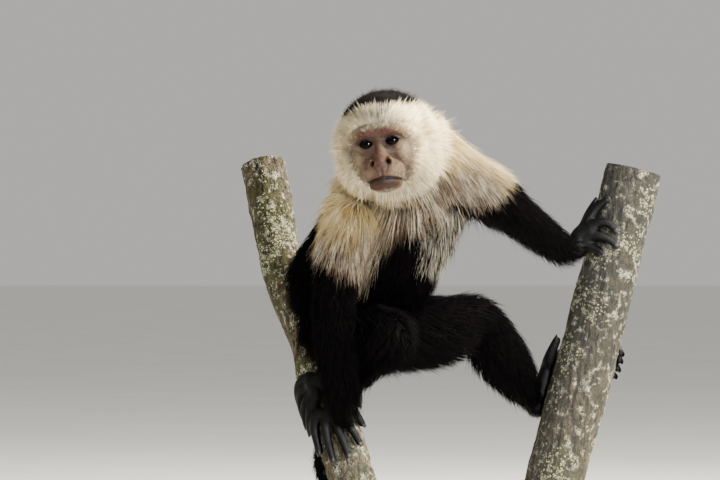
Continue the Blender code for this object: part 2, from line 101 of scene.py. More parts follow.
# ---- grips: angle round the perch from its front, level, lift off the bark, radius ----
HAND_RIGHT = [[(20, 212, 14, 11), (8, 200, 9, 10), (2, 190, 8, 9)],
              [(26, 203, 9, 8), (42, 199, 6, 6), (58, 192, 5, 5), (72, 183, 4.5, 4.5)],
              [(14, 196, 8, 7), (24, 184, 6.5, 6), (34, 172, 5.5, 5), (40, 162, 5, 4.5)],
              [(2, 193, 8, 7), (4, 178, 6.5, 6), (6, 165, 5.5, 5), (7, 152, 5, 4.5)],
              [(-10, 194, 8, 7), (-20, 180, 7, 6), (-25, 166, 5.5, 5), (-27, 154, 5, 4.5)],
              [(-20, 198, 8, 7), (-42, 190, 7, 5.5), (-52, 178, 5.5, 5), (-56, 167, 5, 4.5)]]
HAND_LEFT = [[(-66, 383, 13, 12), (-58, 388, 10, 11), (-50, 390, 8, 9)],
             [(-68, 395, 11, 7.5), (-72, 406, 9, 6), (-73, 415, 7, 5), (-70, 423, 5, 4.5)],
             [(-62, 399, 10, 8), (-58, 412, 8, 6), (-50, 421, 6.5, 5), (-40, 427, 5, 4.5)],
             [(-52, 396, 9, 8), (-38, 402, 8, 6), (-25, 403, 6.5, 5), (-12, 398, 5, 4.5)],
             [(-50, 387, 9, 8), (-34, 388, 8, 6), (-20, 387, 6, 5), (-6, 383, 5, 4.5)],
             [(-55, 378, 9, 8), (-46, 376, 7, 6), (-36, 374, 5.5, 5), (-27, 372, 5, 4.5)]]
FOOT_RIGHT = [[(62, 222, 11, 12), (35, 224, 10, 12), (8, 228, 9, 11.5), (-14, 229, 8, 10)],
              [(48, 219, 9, 9), (76, 214, 8, 7), (98, 208, 6, 5.5)],
              [(-20, 236, 8, 7), (-48, 236, 6.5, 5.5), (-70, 230, 5.5, 5), (-88, 222, 5, 4.5)],
              [(-22, 229, 8, 7), (-50, 227, 6.5, 5.5), (-72, 220, 5.5, 5), (-90, 211, 5, 4.5)],
              [(-20, 222, 8, 7), (-46, 217, 6.5, 5.5), (-66, 209, 5.5, 5), (-82, 200, 5, 4.5)],
              [(-18, 216, 8, 7), (-40, 208, 6.5, 5.5), (-56, 199, 5.5, 5), (-68, 190, 5, 4.5)]]
FOOT_LEFT = [[(-117, 210, 9, 12), (-121, 232, 8, 12), (-138, 252, 8, 12), (-160, 264, 8, 11)],
             [(-112, 240, 9, 9), (-100, 251, 8, 7.5), (-91, 262, 7, 6), (-86, 272, 5.5, 5)],
             [(-164, 274, 8, 7), (-196, 282, 6.5, 5.5), (-228, 283, 5.5, 5), (-253, 277, 5, 4.5)],
             [(-166, 267, 8, 7), (-200, 274, 6.5, 5.5), (-234, 274, 5.5, 5), (-258, 269, 5, 4.5)],
             [(-166, 260, 8, 7), (-200, 264, 6.5, 5.5), (-234, 265, 5.5, 5), (-257, 260, 5, 4.5)],
             [(-164, 253, 8, 7), (-196, 254, 6.5, 5.5), (-226, 256, 5.5, 5), (-248, 252, 5, 4.5)]]

# ---- the head's flesh in its own frame: middle, half sizes, softness of the join. What lies off the middle
# is there on both sides ----
HEAD_FLESH = [((0, 5, 5), (43, 44, 41), 1),               # skull
              ((0, -15.5, 21), (36, 26, 24), 8),          # forehead
              ((20, -6, -19), (23, 28, 26), 10),          # jaw and cheek under the ruff
              ((0, -20, -6), (30, 25, 31), 8),            # flat of the face
              ((17, -30, -13), (12.5, 13, 11), 6),        # cheekbone
              ((0, -35.5, -31), (21.5, 21, 16.5), 7),     # muzzle
              ((10, -42, -30), (10.5, 13, 9.5), 5),       # pad of the upper lip
              ((0, -35, -44), (17, 17, 8), 5),            # chin
              ((0, -46.5, -19.5), (8, 9.5, 6.5), 4),      # nose pad
              ((8.6, -48.2, -20.5), (4.6, 6.2, 5.4), 3)]  # wing of the nose
BROW = [(0, -40.5, 11.5, 6), (17, -39.5, 10, 6.8), (29, -27.5, 5, 5.6)]
NOSE_BRIDGE = [(0, -37.5, 8, 5.6), (0, -42, -6, 5.2), (0, -47, -15, 6)]

# ---- the mouth from its middle out: x, z, and radius of the upper lip, the lower lip and the parting ----
MOUTH = [(0, -35.6, 2.0, 4.8, 1.2), (3.5, -36.8, 2.3, 4.6, 1.2), (8.5, -37.3, 2.3, 4.2, 1.2),
         (13.5, -38.6, 2.0, 3.4, 1.1), (17, -40.8, 1.5, 2.4, 0.9), (18.8, -43.6, 1.0, 1.4, 0.7)]
NOSTRIL = (8.4, -21.6)

# ---- folds over the eye, under it and beside the nose, on both sides: depth of the groove's middle,
# softness, and x, z, radius along it ----
FACE_FOLDS = [(-1.4, 1.8, [(6.5, 4.5, 0.9), (12, 7.4, 1.5), (18, 7.2, 1.6), (24, 2.5, 1.1)]),
              (-0.8, 2.2, [(6.5, -6.5, 0.8), (12, -10.5, 1.5), (19, -9.5, 1.5), (24, -5, 0.8)]),
              (-0.8, 3, [(13.5, -16, 1), (20, -23, 2), (24, -32, 2), (23.5, -42, 0.9)])]

# ---- outline of the bare face on the head: middle height and half height, and half widths up it ----
BARE_FACE = (-18.2, 34.0)
BARE_WIDTHS = [(-52, 21), (-33, 26), (-15, 32.5), (0, 34), (10, 33)]

# ---- the field that the skin is drawn from: boxes round head and animal, spacing of samples in them ----
HEAD_BOX = ((-108, 4), (-164, -58), (432, 546))
SKIN_BOX = ((-172, 232), (-170, 156), (60, 552))
HEAD_STEP = 0.8
BODY_STEP = 1.35
BLOCK = 6                 # samples along the side of a block that is worked out or left out whole
FAR = 40.0                # the distance given where nothing is near
MARGIN = 16.0             # how far from a tube its own distance is worked out
SKIN_TRIANGLES = 188000
NAIL_ROWS = 7
NAIL_LENGTH = 1.35        # of its width


# ---------------------------------------------------------------- lines and places

def fade(value, start, full):
    """0 as far as start, 1 from full on, and even between them."""
    return np.clip((value - start) / (full - start), 0, 1)


def read_off(x, line):
    """The second value of a row, read off at x between the rows of a line."""
    return np.interp(x, *np.array(line, float)[:, :2].T)


def within(points, low, high):
    """Which points lie inside a box."""
    return np.flatnonzero(np.all((points > low) & (points < high), 1))


def unit(vectors):
    """Vectors brought to a length of 1."""
    return vectors / np.maximum(np.linalg.norm(vectors, axis=-1), 1e-9)[..., None]


def smooth_line(stations, parts=4):
    """Stations on a Catmull-Rom curve, each gap in so many parts. Every column is carried along."""
    given = np.array([stations[0], *stations, stations[-1]], float)
    t = (np.arange(parts) / parts)[:, None]
    made = []
    for a, b, c, d in zip(given, given[1:], given[2:], given[3:]):
        made.append(0.5 * (2 * b + (c - a) * t + (2 * a - 5 * b + 4 * c - d) * t ** 2
                           + (3 * b - a - 3 * c + d) * t ** 3))
    return np.vstack([*made, given[-1:]])


def perch_axes(along):
    """Unit vectors to a perch's front and to its +X side, square to its length."""
    front = Vector((0, -1, 0))
    front = (front - along * front.dot(along)).normalized()
    return front, along.cross(front)


def perch_point(perch, angle, level, lift):
    """A point off the perch's bark. The angle turns from the front, -Y, towards +X."""
    low, high = next((a, b) for a, b in zip(perch, perch[1:]) if level <= b[2] or b is perch[-1])
    share = (level - low[2]) / (high[2] - low[2])
    x, y, z, radius = [a + (b - a) * share for a, b in zip(low, high)]
    front, side = perch_axes((Vector(high[:3]) - Vector(low[:3])).normalized())
    turn = math.radians(angle)
    return Vector((x, y, z)) + (front * math.cos(turn) + side * math.sin(turn)) * (radius + lift)


def grip(perch, rays):
    """Stations of a palm or sole and its digits, laid round the perch."""
    return [[(*perch_point(perch, *place), radius, DIGIT_COAT) for *place, radius in ray] for ray in rays]


def tail_line():
    """The tail's free length, and then its turns down round the right perch."""
    first, last, high, low = TAIL_WRAP
    wrap = []
    for i in range(TAIL_STATIONS + 1):
        share = i / TAIL_STATIONS
        point = perch_point(PERCH_RIGHT, first + (last - first) * share, high + (low - high) * share,
                            TAIL_RADIUS + 0.8)
        wrap.append((*point, TAIL_RADIUS - 1.5 * share, 4))
    return TAIL_ROOT + wrap


def head_turn():
    """The head's turn as a 3 by 3 matrix: its columns are the head's own axes."""
    yaw, roll, pitch = [Matrix.Rotation(math.radians(turn), 3, axis)
                        for turn, axis in ((HEAD_YAW, 'Z'), (HEAD_ROLL, 'Y'), (HEAD_PITCH, 'X'))]
    return np.array(yaw @ roll @ pitch)


def to_head(points):
    """Points in the head's own frame."""
    return (points - HEAD_AT) @ head_turn()


def from_head(points):
    return points @ head_turn().T + HEAD_AT


def skin_of(stations):
    """Stations whose radius is the skin's: the coat's depth is taken off."""
    return [(x, y, z, radius - depth) for x, y, z, radius, depth in stations]


HANDS = {"hand_right": (ARM_RIGHT, PERCH_RIGHT, HAND_RIGHT), "hand_left": (ARM_LEFT, PERCH_LEFT, HAND_LEFT),
         "foot_right": (LEG_RIGHT, PERCH_RIGHT, FOOT_RIGHT), "foot_left": (LEG_LEFT, PERCH_LEFT, FOOT_LEFT)}
TAIL = tail_line()


# ---------------------------------------------------------------- fields: distance, below 0 inside

def soft_min(a, b, softness):
    """The union of two forms with a rounded join."""
    near = np.maximum(softness - np.abs(a - b), 0) / softness
    return np.minimum(a, b) - near ** 3 * softness / 6


def soft_max(a, b, softness):
    """What two forms share. With the second turned inside out, it is cut from the first."""
    return -soft_min(-a, -b, softness)


def ball(points, middle, half_sizes):
    """A ball or a drawn-out ball."""
    q = (points - np.array(middle)) / np.array(half_sizes)
    size = np.linalg.norm(q, axis=1)
    slope = np.linalg.norm(q / np.array(half_sizes), axis=1)
    return size * (size - 1) / np.maximum(slope, 1e-6)


def tube(points, stations, parts=4):
    """A rounded tube along a smooth line of stations (x, y, z, radius)."""
    found = np.full(len(points), FAR)
    line = smooth_line(stations, parts)[:, :4]
    reach = line[:, 3].max() + MARGIN
    kept = within(points, line[:, :3].min(0) - reach, line[:, :3].max(0) + reach)
    local = points[kept]
    nearest = np.full(len(kept), FAR)
    for start, end in zip(line, line[1:]):
        reach = max(start[3], end[3]) + MARGIN
        near = within(local, np.minimum(start[:3], end[:3]) - reach, np.maximum(start[:3], end[:3]) + reach)
        if len(near):
            run = end[:3] - start[:3]
            away = local[near] - start[:3]
            share = np.clip(away @ run / max(run @ run, 1e-9), 0, 1)
            away -= share[:, None] * run
            distance = np.sqrt((away * away).sum(1)) - start[3] - share * (end[3] - start[3])
            nearest[near] = np.minimum(nearest[near], distance)
    found[kept] = nearest
    return found


def flesh_of_face(points):
    """The head's masses before any detail, in the head's frame."""
    found = np.full(len(points), FAR)
    for (x, y, z), half_sizes, softness in HEAD_FLESH:
        for side in (1, -1) if x else (1,):
            found = soft_min(found, ball(points, (side * x, y, z), half_sizes), softness)
    found = soft_min(found, tube(points, mirrored(BROW)), 9)
    return soft_min(found, tube(points, NOSE_BRIDGE), 5)


@functools.cache
def on_face(x, z, sunk=0.0):
    """A point on the face at x, z in the head's frame, sunk by so much."""
    y = np.linspace(-75, 0, 601)
    points = np.stack([np.full_like(y, x), y, np.full_like(y, z)], 1)
    first = int(np.argmax(flesh_of_face(points) < 0))
    return (x, y[first] + sunk, z)


def face_line(rows, sunk, drop=0.0):
    """Stations of a tube along rows of x, z, radius on the face."""
    return [(*on_face(x, z - drop, sunk), radius) for x, z, radius in rows]


def mirrored(line):
    """A line from the middle outwards, carried over to both sides."""
    return [(-x, *rest) for x, *rest in reversed(line[1:])] + list(line)


def lid_opening(points, side):
    """The almond between the lids, seen along the eye's own gaze."""
    x = (points[:, 0] - side * EYE_OUT) * side
    z = points[:, 2]
    across = np.clip(1 - (x / LID_REACH) ** 2, 0, 1)
    upper = 4.0 * across ** 0.75 + 0.04 * x
    lower = -4.4 * across ** 0.8 + 0.04 * x
    beyond = np.maximum(np.abs(x) - LID_REACH, 0)
    return np.maximum(np.maximum(z - upper, lower - z) + beyond, points[:, 1] - EYE_DEPTH)


def head_field(points):
    """The head with its lids, nostrils, lips, folds and ears, in the head's frame."""
    found = flesh_of_face(points)
    x, z, upper, lower, parting = np.array(mirrored(MOUTH)).T
    found = soft_min(found, tube(points, face_line(zip(x, z, upper), 1.2, -2.6)), 2.4)
    found = soft_min(found, tube(points, face_line(zip(x * 0.8, z + 0.16 * abs(x), lower), 1.9, 5)), 3)
    found = soft_max(found, -tube(points, face_line(zip(x, z, parting), -0.5)), 1.0)
    for side in (-1, 1):
        eye = (side * EYE_OUT, EYE_DEPTH, 0)
        found = soft_max(found, -ball(points, (side * 15, -51, -1.5), (12.5, 13, 8.5)), 5)
        found = soft_min(found, ball(points, eye, [EYE_RADIUS + 1.5] * 3), 3)
        for sunk, softness, fold in FACE_FOLDS:
            groove = face_line([(side * x, z, radius) for x, z, radius in fold], sunk)
            found = soft_max(found, -tube(points, groove), softness)
        x, y, z = on_face(side * NOSTRIL[0], NOSTRIL[1])
        wing = [(x + side * 1.6, y + 1.4, z + 3.6, 1.7), (x + side * 3.6, y + 2.6, z - 0.6, 1.8),
                (x + side * 1.4, y + 1.8, z - 4.4, 1.4)]
        found = soft_min(found, tube(points, wing), 2)
        hole = [(x - side * 1.0, y - 0.8, z - 2.1, 1.7), (x + side * 0.7, y + 0.1, z + 0.6, 2.6),
                (x - side * 1.6, y + 5, z + 2.5, 2.0)]
        found = soft_max(found, -tube(points, hole), 0.8)
        beside = [(*on_face(side * 7, -26.4, -0.5), 1.0), (*on_face(side * 5, -30, -0.6), 0.8)]
        found = soft_max(found, -tube(points, beside), 1.2)
        found = soft_max(found, -lid_opening(points, side), 1.0)
        found = np.maximum(found, -ball(points, eye, [EYE_RADIUS + 0.15] * 3))
        ear = ball(points, (side * EAR_OUT, *EAR_PLACE), EAR_SIZES)
        ear = soft_max(ear, -ball(points, (side * (EAR_OUT + 3.4), 4, -3), (3.2, 6.2, 9)), 2)
        found = soft_min(found, ear, 4)
    found = soft_max(found, -tube(points, face_line([(0, -27.5, 0.9), (0, -33.5, 0.9)], -0.6)), 2)
    return soft_max(found, -tube(points, face_line([(-3.2, 9, 0.9), (-2.6, 14, 0.8)], -0.5)), 2)


def hand_field(points, limb, perch, rays):
    """A limb with its hand or foot: the wrist runs into the palm, and each digit springs from it."""
    paths = [skin_of(path) for path in grip(perch, rays)]
    arm = skin_of(limb)
    found = soft_min(tube(points, arm), tube(points, [arm[-1], *paths[0]]), 5)
    for path in paths[1:]:
        spring = paths[0][0] if path is paths[1] else paths[0][-1]
        found = soft_min(found, tube(points, [spring, *path], 3), 2.6)
    return found


def perch_field(points, stations):
    return tube(points, stations, 2)


def skin_field(points):
    """The whole animal's skin, pressed flat where it meets the bark."""
    found = tube(points, skin_of(SPINE))
    for line in (BACK, SHOULDER_SLOPE, FLANK_FOLD):
        found = soft_min(found, tube(points, skin_of(line)), 12)
    for limb, perch, rays in HANDS.values():
        found = soft_min(found, hand_field(points, limb, perch, rays), 15)
    found = soft_min(found, tube(points, skin_of(TAIL), 3), 6)
    low, high = np.array(HEAD_BOX).T
    near = within(points, low - 12, high + 12)
    if len(near):
        found[near] = soft_min(found[near], head_field(to_head(points[near])), 8)
    for perch in (PERCH_RIGHT, PERCH_LEFT):
        found = soft_max(found, 0.3 - perch_field(points, perch), 1.0)
    return found


# ---------------------------------------------------------------- field to mesh

def axis_samples(low, high, fine):
    """Places of the samples along one axis, close together over the head."""
    made = np.concatenate([np.arange(low, fine[0], BODY_STEP), np.arange(*fine, HEAD_STEP),
                           np.arange(fine[1], high, BODY_STEP)])
    return made[:len(made) // BLOCK * BLOCK]


def lattice(axes):
    """Every place that takes one value from each axis."""
    return np.stack(np.meshgrid(*axes, indexing='ij'), -1)


def sample_field(axes):
    """The field at every sample: worked out only in the blocks that the skin may cross."""
    runs = [axis.reshape(-1, BLOCK) for axis in axes]
    middles = lattice([run.mean(1) for run in runs])
    halves = lattice([np.ptp(run, axis=1) / 2 + BODY_STEP for run in runs])
    coarse = skin_field(middles.reshape(-1, 3)).reshape(middles.shape[:3])
    crossed = np.abs(coarse) < np.linalg.norm(halves, axis=-1) * 1.15
    signs = np.where(coarse < 0, -FAR, FAR).astype(np.float32)
    for axis in range(3):
        signs = np.repeat(signs, BLOCK, axis=axis)
    blocks = np.argwhere(crossed)
    offsets = lattice([np.arange(BLOCK)] * 3).reshape(-1, 3)
    for group in np.array_split(blocks, max(1, len(blocks) // 1500)):
        places = (group[:, None] * BLOCK + offsets).reshape(-1, 3)
        points = np.stack([axis[places[:, i]] for i, axis in enumerate(axes)], 1)
        signs[tuple(places.T)] = skin_field(points)
    return signs


def surface_net(field, axes):
    """A closed mesh on the field's zero: one point to each cell crossed, one face to each edge crossed."""
    inside = field < 0
    steps = np.array([field.shape[1] * field.shape[2], field.shape[2], 1])
    faces = []
    for axis in range(3):
        crossed = np.argwhere(np.diff(inside, axis=axis))
        first = crossed @ steps
        u, v = steps[axis - 2], steps[axis - 1]
        face = np.stack([first, first - u, first - u - v, first - v], 1)
        faces.append(np.where(inside[tuple(crossed.T)][:, None], face, face[:, ::-1]))
    cells, faces = np.unique(np.concatenate(faces), return_inverse=True)
    faces = faces.reshape(-1, 4)
    corners = np.array(list(np.ndindex(2, 2, 2)))
    values = field.ravel()[cells[:, None] + corners @ steps]
    places = np.stack(np.unravel_index(cells, field.shape), 1)
    total = np.zeros((len(cells), 3))
    count = np.zeros(len(cells))
    for a in range(8):
        for b in range(a + 1, 8):
            if np.abs(corners[a] - corners[b]).sum() == 1:
                crossed = (values[:, a] < 0) != (values[:, b] < 0)
                share = values[:, a] / np.where(crossed, values[:, a] - values[:, b], 1)
                at = corners[a] + share[:, None] * (corners[b] - corners[a])
                total += at * crossed[:, None]
                count += crossed
    share = total / count[:, None]
    points = np.empty_like(total)
    for i, axis in enumerate(axes):
        low = axis[places[:, i]]
        high = axis[np.minimum(places[:, i] + 1, len(axis) - 1)]
        points[:, i] = low + share[:, i] * (high - low)
    return points, faces


# ---------------------------------------------------------------- objects

def add_object(name, data):
    made = bpy.data.objects.new(name, data)
    bpy.context.scene.collection.objects.link(made)
    return made


def mesh_from(name, points, faces):
    """A smooth object from points in millimetres and faces that all have as many corners."""
    mesh = bpy.data.meshes.new(name)
    faces = np.asarray(faces, np.int32)
    mesh.vertices.add(len(points))
    put_points(mesh, points)
    mesh.loops.add(faces.size)
    mesh.loops.foreach_set("vertex_index", faces.ravel())
    mesh.polygons.add(len(faces))
    mesh.polygons.foreach_set("loop_start", np.arange(0, faces.size, faces.shape[1], dtype=np.int32))
    mesh.update(calc_edges=True)
    mesh.shade_smooth()
    return add_object(name, mesh)


@contextlib.contextmanager
def opened(mesh):
    """The mesh as a bmesh, which is written back at the end."""
    bm = bmesh.new()
    bm.from_mesh(mesh)
    yield bm
    bm.to_mesh(mesh)
    bm.free()


def apply_modifiers(piece):
    """The piece with its modifiers made into its mesh."""
    graph = bpy.context.evaluated_depsgraph_get()
    mesh = bpy.data.meshes.new_from_object(piece.evaluated_get(graph), depsgraph=graph)
    piece.modifiers.clear()
    old = piece.data
    piece.data = mesh
    mesh.name = piece.name
    bpy.data.meshes.remove(old)


def read_rows(items, key, kind=np.float32):
    """A value of three numbers from each of a mesh's vertices or triangles."""
    found = np.empty(len(items) * 3, kind)
    items.foreach_get(key, found)
    return found.reshape(-1, 3)


def read_points(mesh):
    return read_rows(mesh.vertices, "co").astype(float) / MM


def put_points(mesh, points):
    mesh.vertices.foreach_set("co", (np.asarray(points, float) * MM).astype(np.float32).ravel())


def put_values(mesh, **named):
    """A number at each point of a mesh, under each name, for its material to read."""
    for name, values in named.items():
        mesh.attributes.new(name, 'FLOAT', 'POINT').data.foreach_set("value", np.asarray(values, np.float32))


def place(piece, slot, *nodes):
    """A finished piece, in place of the solids that are named."""
    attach(piece, "root")
    if nodes:
        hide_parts(*nodes)
    return piece


# ---------------------------------------------------------------- materials
# Each material is a function of its node tree, which gives the shader's inputs. Colours are sRGB hex values.

def shade(hexed):
    """An sRGB hex colour as linear values with an alpha of 1."""
    channels = [int(hexed[i:i + 2], 16) / 255 for i in (0, 2, 4)]
    return (*[c / 12.92 if c <= 0.04045 else ((c + 0.055) / 1.055) ** 2.4 for c in channels], 1.0)


def feed(tree, socket, value):
    """Gives an input a value, a hex colour or another node's output."""
    if isinstance(value, bpy.types.NodeSocket):
        tree.links.new(value, socket)
    else:
        socket.default_value = shade(value) if isinstance(value, str) else value


def node(tree, kind, inputs=None, out=0, **settings):
    """Adds a node with its settings, feeds its inputs and gives one of its outputs."""
    made = tree.nodes.new(kind)
    for name, value in settings.items():
        setattr(made, name, value)
    for key, value in (inputs or {}).items():
        feed(tree, made.inputs[key], value)
    return made.outputs[out]


@functools.cache
def finish(look):
    """The material that a function of the same name describes, made once."""
    made = bpy.data.materials.new(look.__name__.replace("_", " "))
    made.use_nodes = True
    for key, value in look(made.node_tree).items():
        feed(made.node_tree, made.node_tree.nodes["Principled BSDF"].inputs[key], value)
    return made


def layered(tree, colour, *layers):
    """A colour with others laid over it: each has a mask, the mask's values where it starts and is full, and
    its colour. A mask is a point attribute's name or a node's output."""
    for mask, start, full, over in layers:
        if isinstance(mask, str):
            mask = node(tree, "ShaderNodeAttribute", out="Fac", attribute_name=mask)
        share = node(tree, "ShaderNodeMapRange", {"Value": mask, "From Min": start, "From Max": full})
        colour = node(tree, "ShaderNodeMix", {0: share, 6: colour, 7: over}, 2, data_type='RGBA')
    return colour


def bumped(tree, *layers):
    """Bumps laid over each other: each is a height from 0 to 1 and its depth in millimetres."""
    under = {}
    for height, depth in layers:
        heights = {"Height": height, "Strength": 1, "Distance": depth * MM}
        under = {"Normal": node(tree, "ShaderNodeBump", {**heights, **under})}
    return under["Normal"]


def grain(tree, size, detail, stretch=(1, 1, 1)):
    """Noise on object coordinates whose patches are about so many millimetres across."""
    where = node(tree, "ShaderNodeTexCoord", out="Object")
    where = node(tree, "ShaderNodeMapping", {"Vector": where, "Scale": stretch})
    return node(tree, "ShaderNodeTexNoise", {"Vector": where, "Scale": 1 / (size * MM), "Detail": detail})


def cream_guard_hair(tree):
    """Pale guard hair: dry and matt, ivory where the sun has bleached it, tan to brown at the throat and
    shoulder with painted shade and light laid in there, darker towards the root as painted shade deep in the
    coat, and grey as painted rim light on the black flank."""
    # the tan number carries painted shade and light, the grey number painted rim light, and the darkening
    # towards the root is painted shade deep in the coat
    hue = layered(tree, "f2d280", ("tan_and_painted_light", 0, 1, "452b06"), ("grey_and_rim_light", 0, 1, "87857c"),
                  ("along", 1, 1 - 1 / 0.7, "3a2a16"), ("spread", 0, 1, "fcf4da"))
    return {"Base Color": hue, "Roughness": 0.62, "IOR": 1.55, "Specular IOR Level": 0.2,
            "Sheen Weight": 0.05, "Sheen Roughness": 0.4}


def black_guard_hair(tree):
    """Black guard hair: matt, with a brown cast where the tips have worn."""
    return {"Base Color": layered(tree, "040304", ("spread", 0, 1, "110c0c")), "Roughness": 0.7, "IOR": 1.5,
            "Specular IOR Level": 0.015}


def bare_skin(tree):
    """Living skin: flesh-pink and finely creased on the bare face, dark at the lips and the lids' edges, with
    painted shade round the eyes, in the nostrils and along the mouth's parting, black and leathery on hands
    and feet, and the colour of the hair's roots where the coat hides it."""
    mottle = grain(tree, 4, 5)
    roots = layered(tree, "030303", ("cream", 0, 1, "7c6238"))
    # the dark number holds the lips' own colour and painted shade round the eyes, in the nostrils and along
    # the mouth's parting
    hue = layered(tree, "513d2f", (mottle, 0.35, 0.7, "3c2c21"), ("pale", 0, 1, "7a6b52"),
                  ("flush", 0, 1, "472018"), ("dark", 0, 1, "1a100c"), ("bare", 1, 0, roots))
    # creases 1.6 mm apart, as on a monkey's cheek and palm
    where = node(tree, "ShaderNodeTexCoord", out="Object")
    creases = node(tree, "ShaderNodeTexVoronoi", {"Vector": where, "Scale": 1 / (1.6 * MM)}, "Distance",
                   feature='DISTANCE_TO_EDGE')
    creases = node(tree, "ShaderNodeMapRange", {"Value": creases, "From Max": 0.12})
    return {"Base Color": hue, "IOR": 1.42, "Specular IOR Level": 0.1, "Subsurface Weight": 0.08,
            "Subsurface Scale": 0.002, "Normal": bumped(tree, (creases, 0.12), (grain(tree, 3, 6), 0.5)),
            "Roughness": node(tree, "ShaderNodeMapRange", {"Value": mottle, "To Min": 0.42, "To Max": 0.62})}


def wet_eye(tree):
    """A wet eye: dark brown iris with a black pupil, under a clear glossy cornea."""
    hue = layered(tree, "060302", (grain(tree, 0.5, 4), 0.3, 0.7, "100805"),
                  ("off_axis", 0.28, 0.24, "020101"), ("off_axis", 0.6, 0.7, "080403"),
                  ("off_axis", 0.8, 0.92, "2a1c16"))
    return {"Base Color": hue, "Roughness": 0.04, "IOR": 1.38, "Specular IOR Level": 0.06}


def nail_horn(tree):
    """Horn of the nails: grey-black and half-glossy, with fine lines along it."""
    return {"Base Color": layered(tree, "0e0c0d", (grain(tree, 1.5, 3), 0.3, 0.7, "262223")),
            "Roughness": 0.5, "IOR": 1.55, "Specular IOR Level": 0.12,
            "Normal": bumped(tree, (grain(tree, 0.6, 2), 0.08))}


def weathered_bark(tree):
    """Weathered bark: grey-brown and fissured, with pale crusts of lichen and green films of algae, painted
    shade in its fissures, and a dark green of moss with painted shade.
    """
    fibre = grain(tree, 3, 9, (1, 1, 0.25))
    fine = grain(tree, 1.4, 8)
    blotch = grain(tree, 8, 14)
    damp = node(tree, "ShaderNodeMapRange", {"Value": grain(tree, 11, 7), "From Min": 0.15, "From Max": 0.52})
    moss = node(tree, "ShaderNodeAttribute", out="Fac", attribute_name="moss")
    # darker green where this number and the damp patches meet: moss with painted shade
    shady = node(tree, "ShaderNodeMath", {0: moss, 1: damp}, operation='MULTIPLY')
    broad, small = [node(tree, "ShaderNodeMapRange", {"Value": value, "From Min": start, "From Max": full})
                    for value, start, full in ((blotch, 0.53, 0.66), (fine, 0.4, 0.55))]
    crust = node(tree, "ShaderNodeMath", {0: broad, 1: small}, operation='MULTIPLY')
    # the fissure number darkens the bark in its cracks: painted shade
    hue = layered(tree, "1d180f", (fibre, 0.32, 0.7, "665a40"), (grain(tree, 38, 6), 0.42, 0.6, "3a381a"),
                  (shady, 0, 1, "16170a"), (crust, 0, 1, "a8a692"), (grain(tree, 2, 6), 0.53, 0.62, "16120a"),
                  ("fissure", 0, 1, "110d08"))
    return {"Base Color": hue, "IOR": 1.45, "Specular IOR Level": 0.3,
            "Roughness": node(tree, "ShaderNodeMapRange", {"Value": blotch, "To Min": 0.75, "To Max": 0.95}),
            "Normal": bumped(tree, (fibre, 2.0), (fine, 1.0))}


def sawn_end_grain(tree):
    """Sawn end of a trunk, greyed by the weather: rings of growth 2.5 mm apart, darker where it is damp."""
    radial = node(tree, "ShaderNodeAttribute", out="Fac", attribute_name="radial")
    wander = node(tree, "ShaderNodeMath", {0: grain(tree, 14, 3), 1: 6, 2: radial}, operation='MULTIPLY_ADD')
    turns = node(tree, "ShaderNodeMath", {0: wander, 1: math.tau / 2.5}, operation='MULTIPLY')
    rings = node(tree, "ShaderNodeMath", {0: turns}, operation='SINE')
    hue = layered(tree, "7d6a4c", (rings, -0.6, 1, "54432c"), (grain(tree, 12, 5), 0.42, 0.7, "3a3122"))
    return {"Base Color": hue, "Roughness": 0.85, "IOR": 1.45, "Specular IOR Level": 0.25}


def crustose_lichen(tree):
    """Crusts of lichen: chalky grey-green, darker in patches."""
    return {"Base Color": layered(tree, "92917a", (grain(tree, 5, 6), 0.35, 0.65, "5b5e42")),
            "Roughness": 0.95, "IOR": 1.45, "Specular IOR Level": 0.2,
            "Normal": bumped(tree, (grain(tree, 0.8, 4), 0.4))}


def satin_powder_coat(tree):
    """Satin powder coat on the base: an even orange-peel and faint dust."""
    return {"Base Color": layered(tree, "232427", (grain(tree, 40, 4), 0.3, 0.75, "2f3033")),
            "Roughness": 0.55, "IOR": 1.5, "Specular IOR Level": 0.2,
            "Normal": bumped(tree, (grain(tree, 0.9, 2), 0.05))}


def brushed_stainless_steel(tree):
    """Brushed stainless steel: fine rings round the rod."""
    lines = grain(tree, 3, 3, (1, 1, 14))
    return {"Base Color": layered(tree, "8b8d90", (lines, 0.3, 0.7, "b2b4b6")), "Metallic": 1,
            "Roughness": node(tree, "ShaderNodeMapRange", {"Value": lines, "To Min": 0.25, "To Max": 0.42})}


def studio_paper(tree):
    """Seamless studio paper, matt and pale."""
    return {"Base Color": layered(tree, "e9e8e5", (grain(tree, 300, 3), 0.3, 0.7, "efeeeb")),
            "Roughness": 0.9}


# ---------------------------------------------------------------- markings

def bare_measure(local):
    """How far out on the face a point lies: 1 on the edge of the bare skin."""
    level, half_height = BARE_FACE
    x, y, z = local.T
    across = np.abs(x) / read_off(z, BARE_WIDTHS)
    up = np.abs(z - level) / half_height
    return (across ** 3 + up ** 3) ** (1 / 3) + np.maximum(y + 17, 0) * 0.06


def wobble(points, size, amount):
    """A slow, smooth wandering of a marking's edge."""
    x, y, z = (points / size).T
    waves = np.sin(x * 2.1 + 1.3 * np.sin(y * 1.7)) + np.sin(z * 2.3 + 1.1 * np.sin(x * 1.9 + y))
    return amount * waves / 2


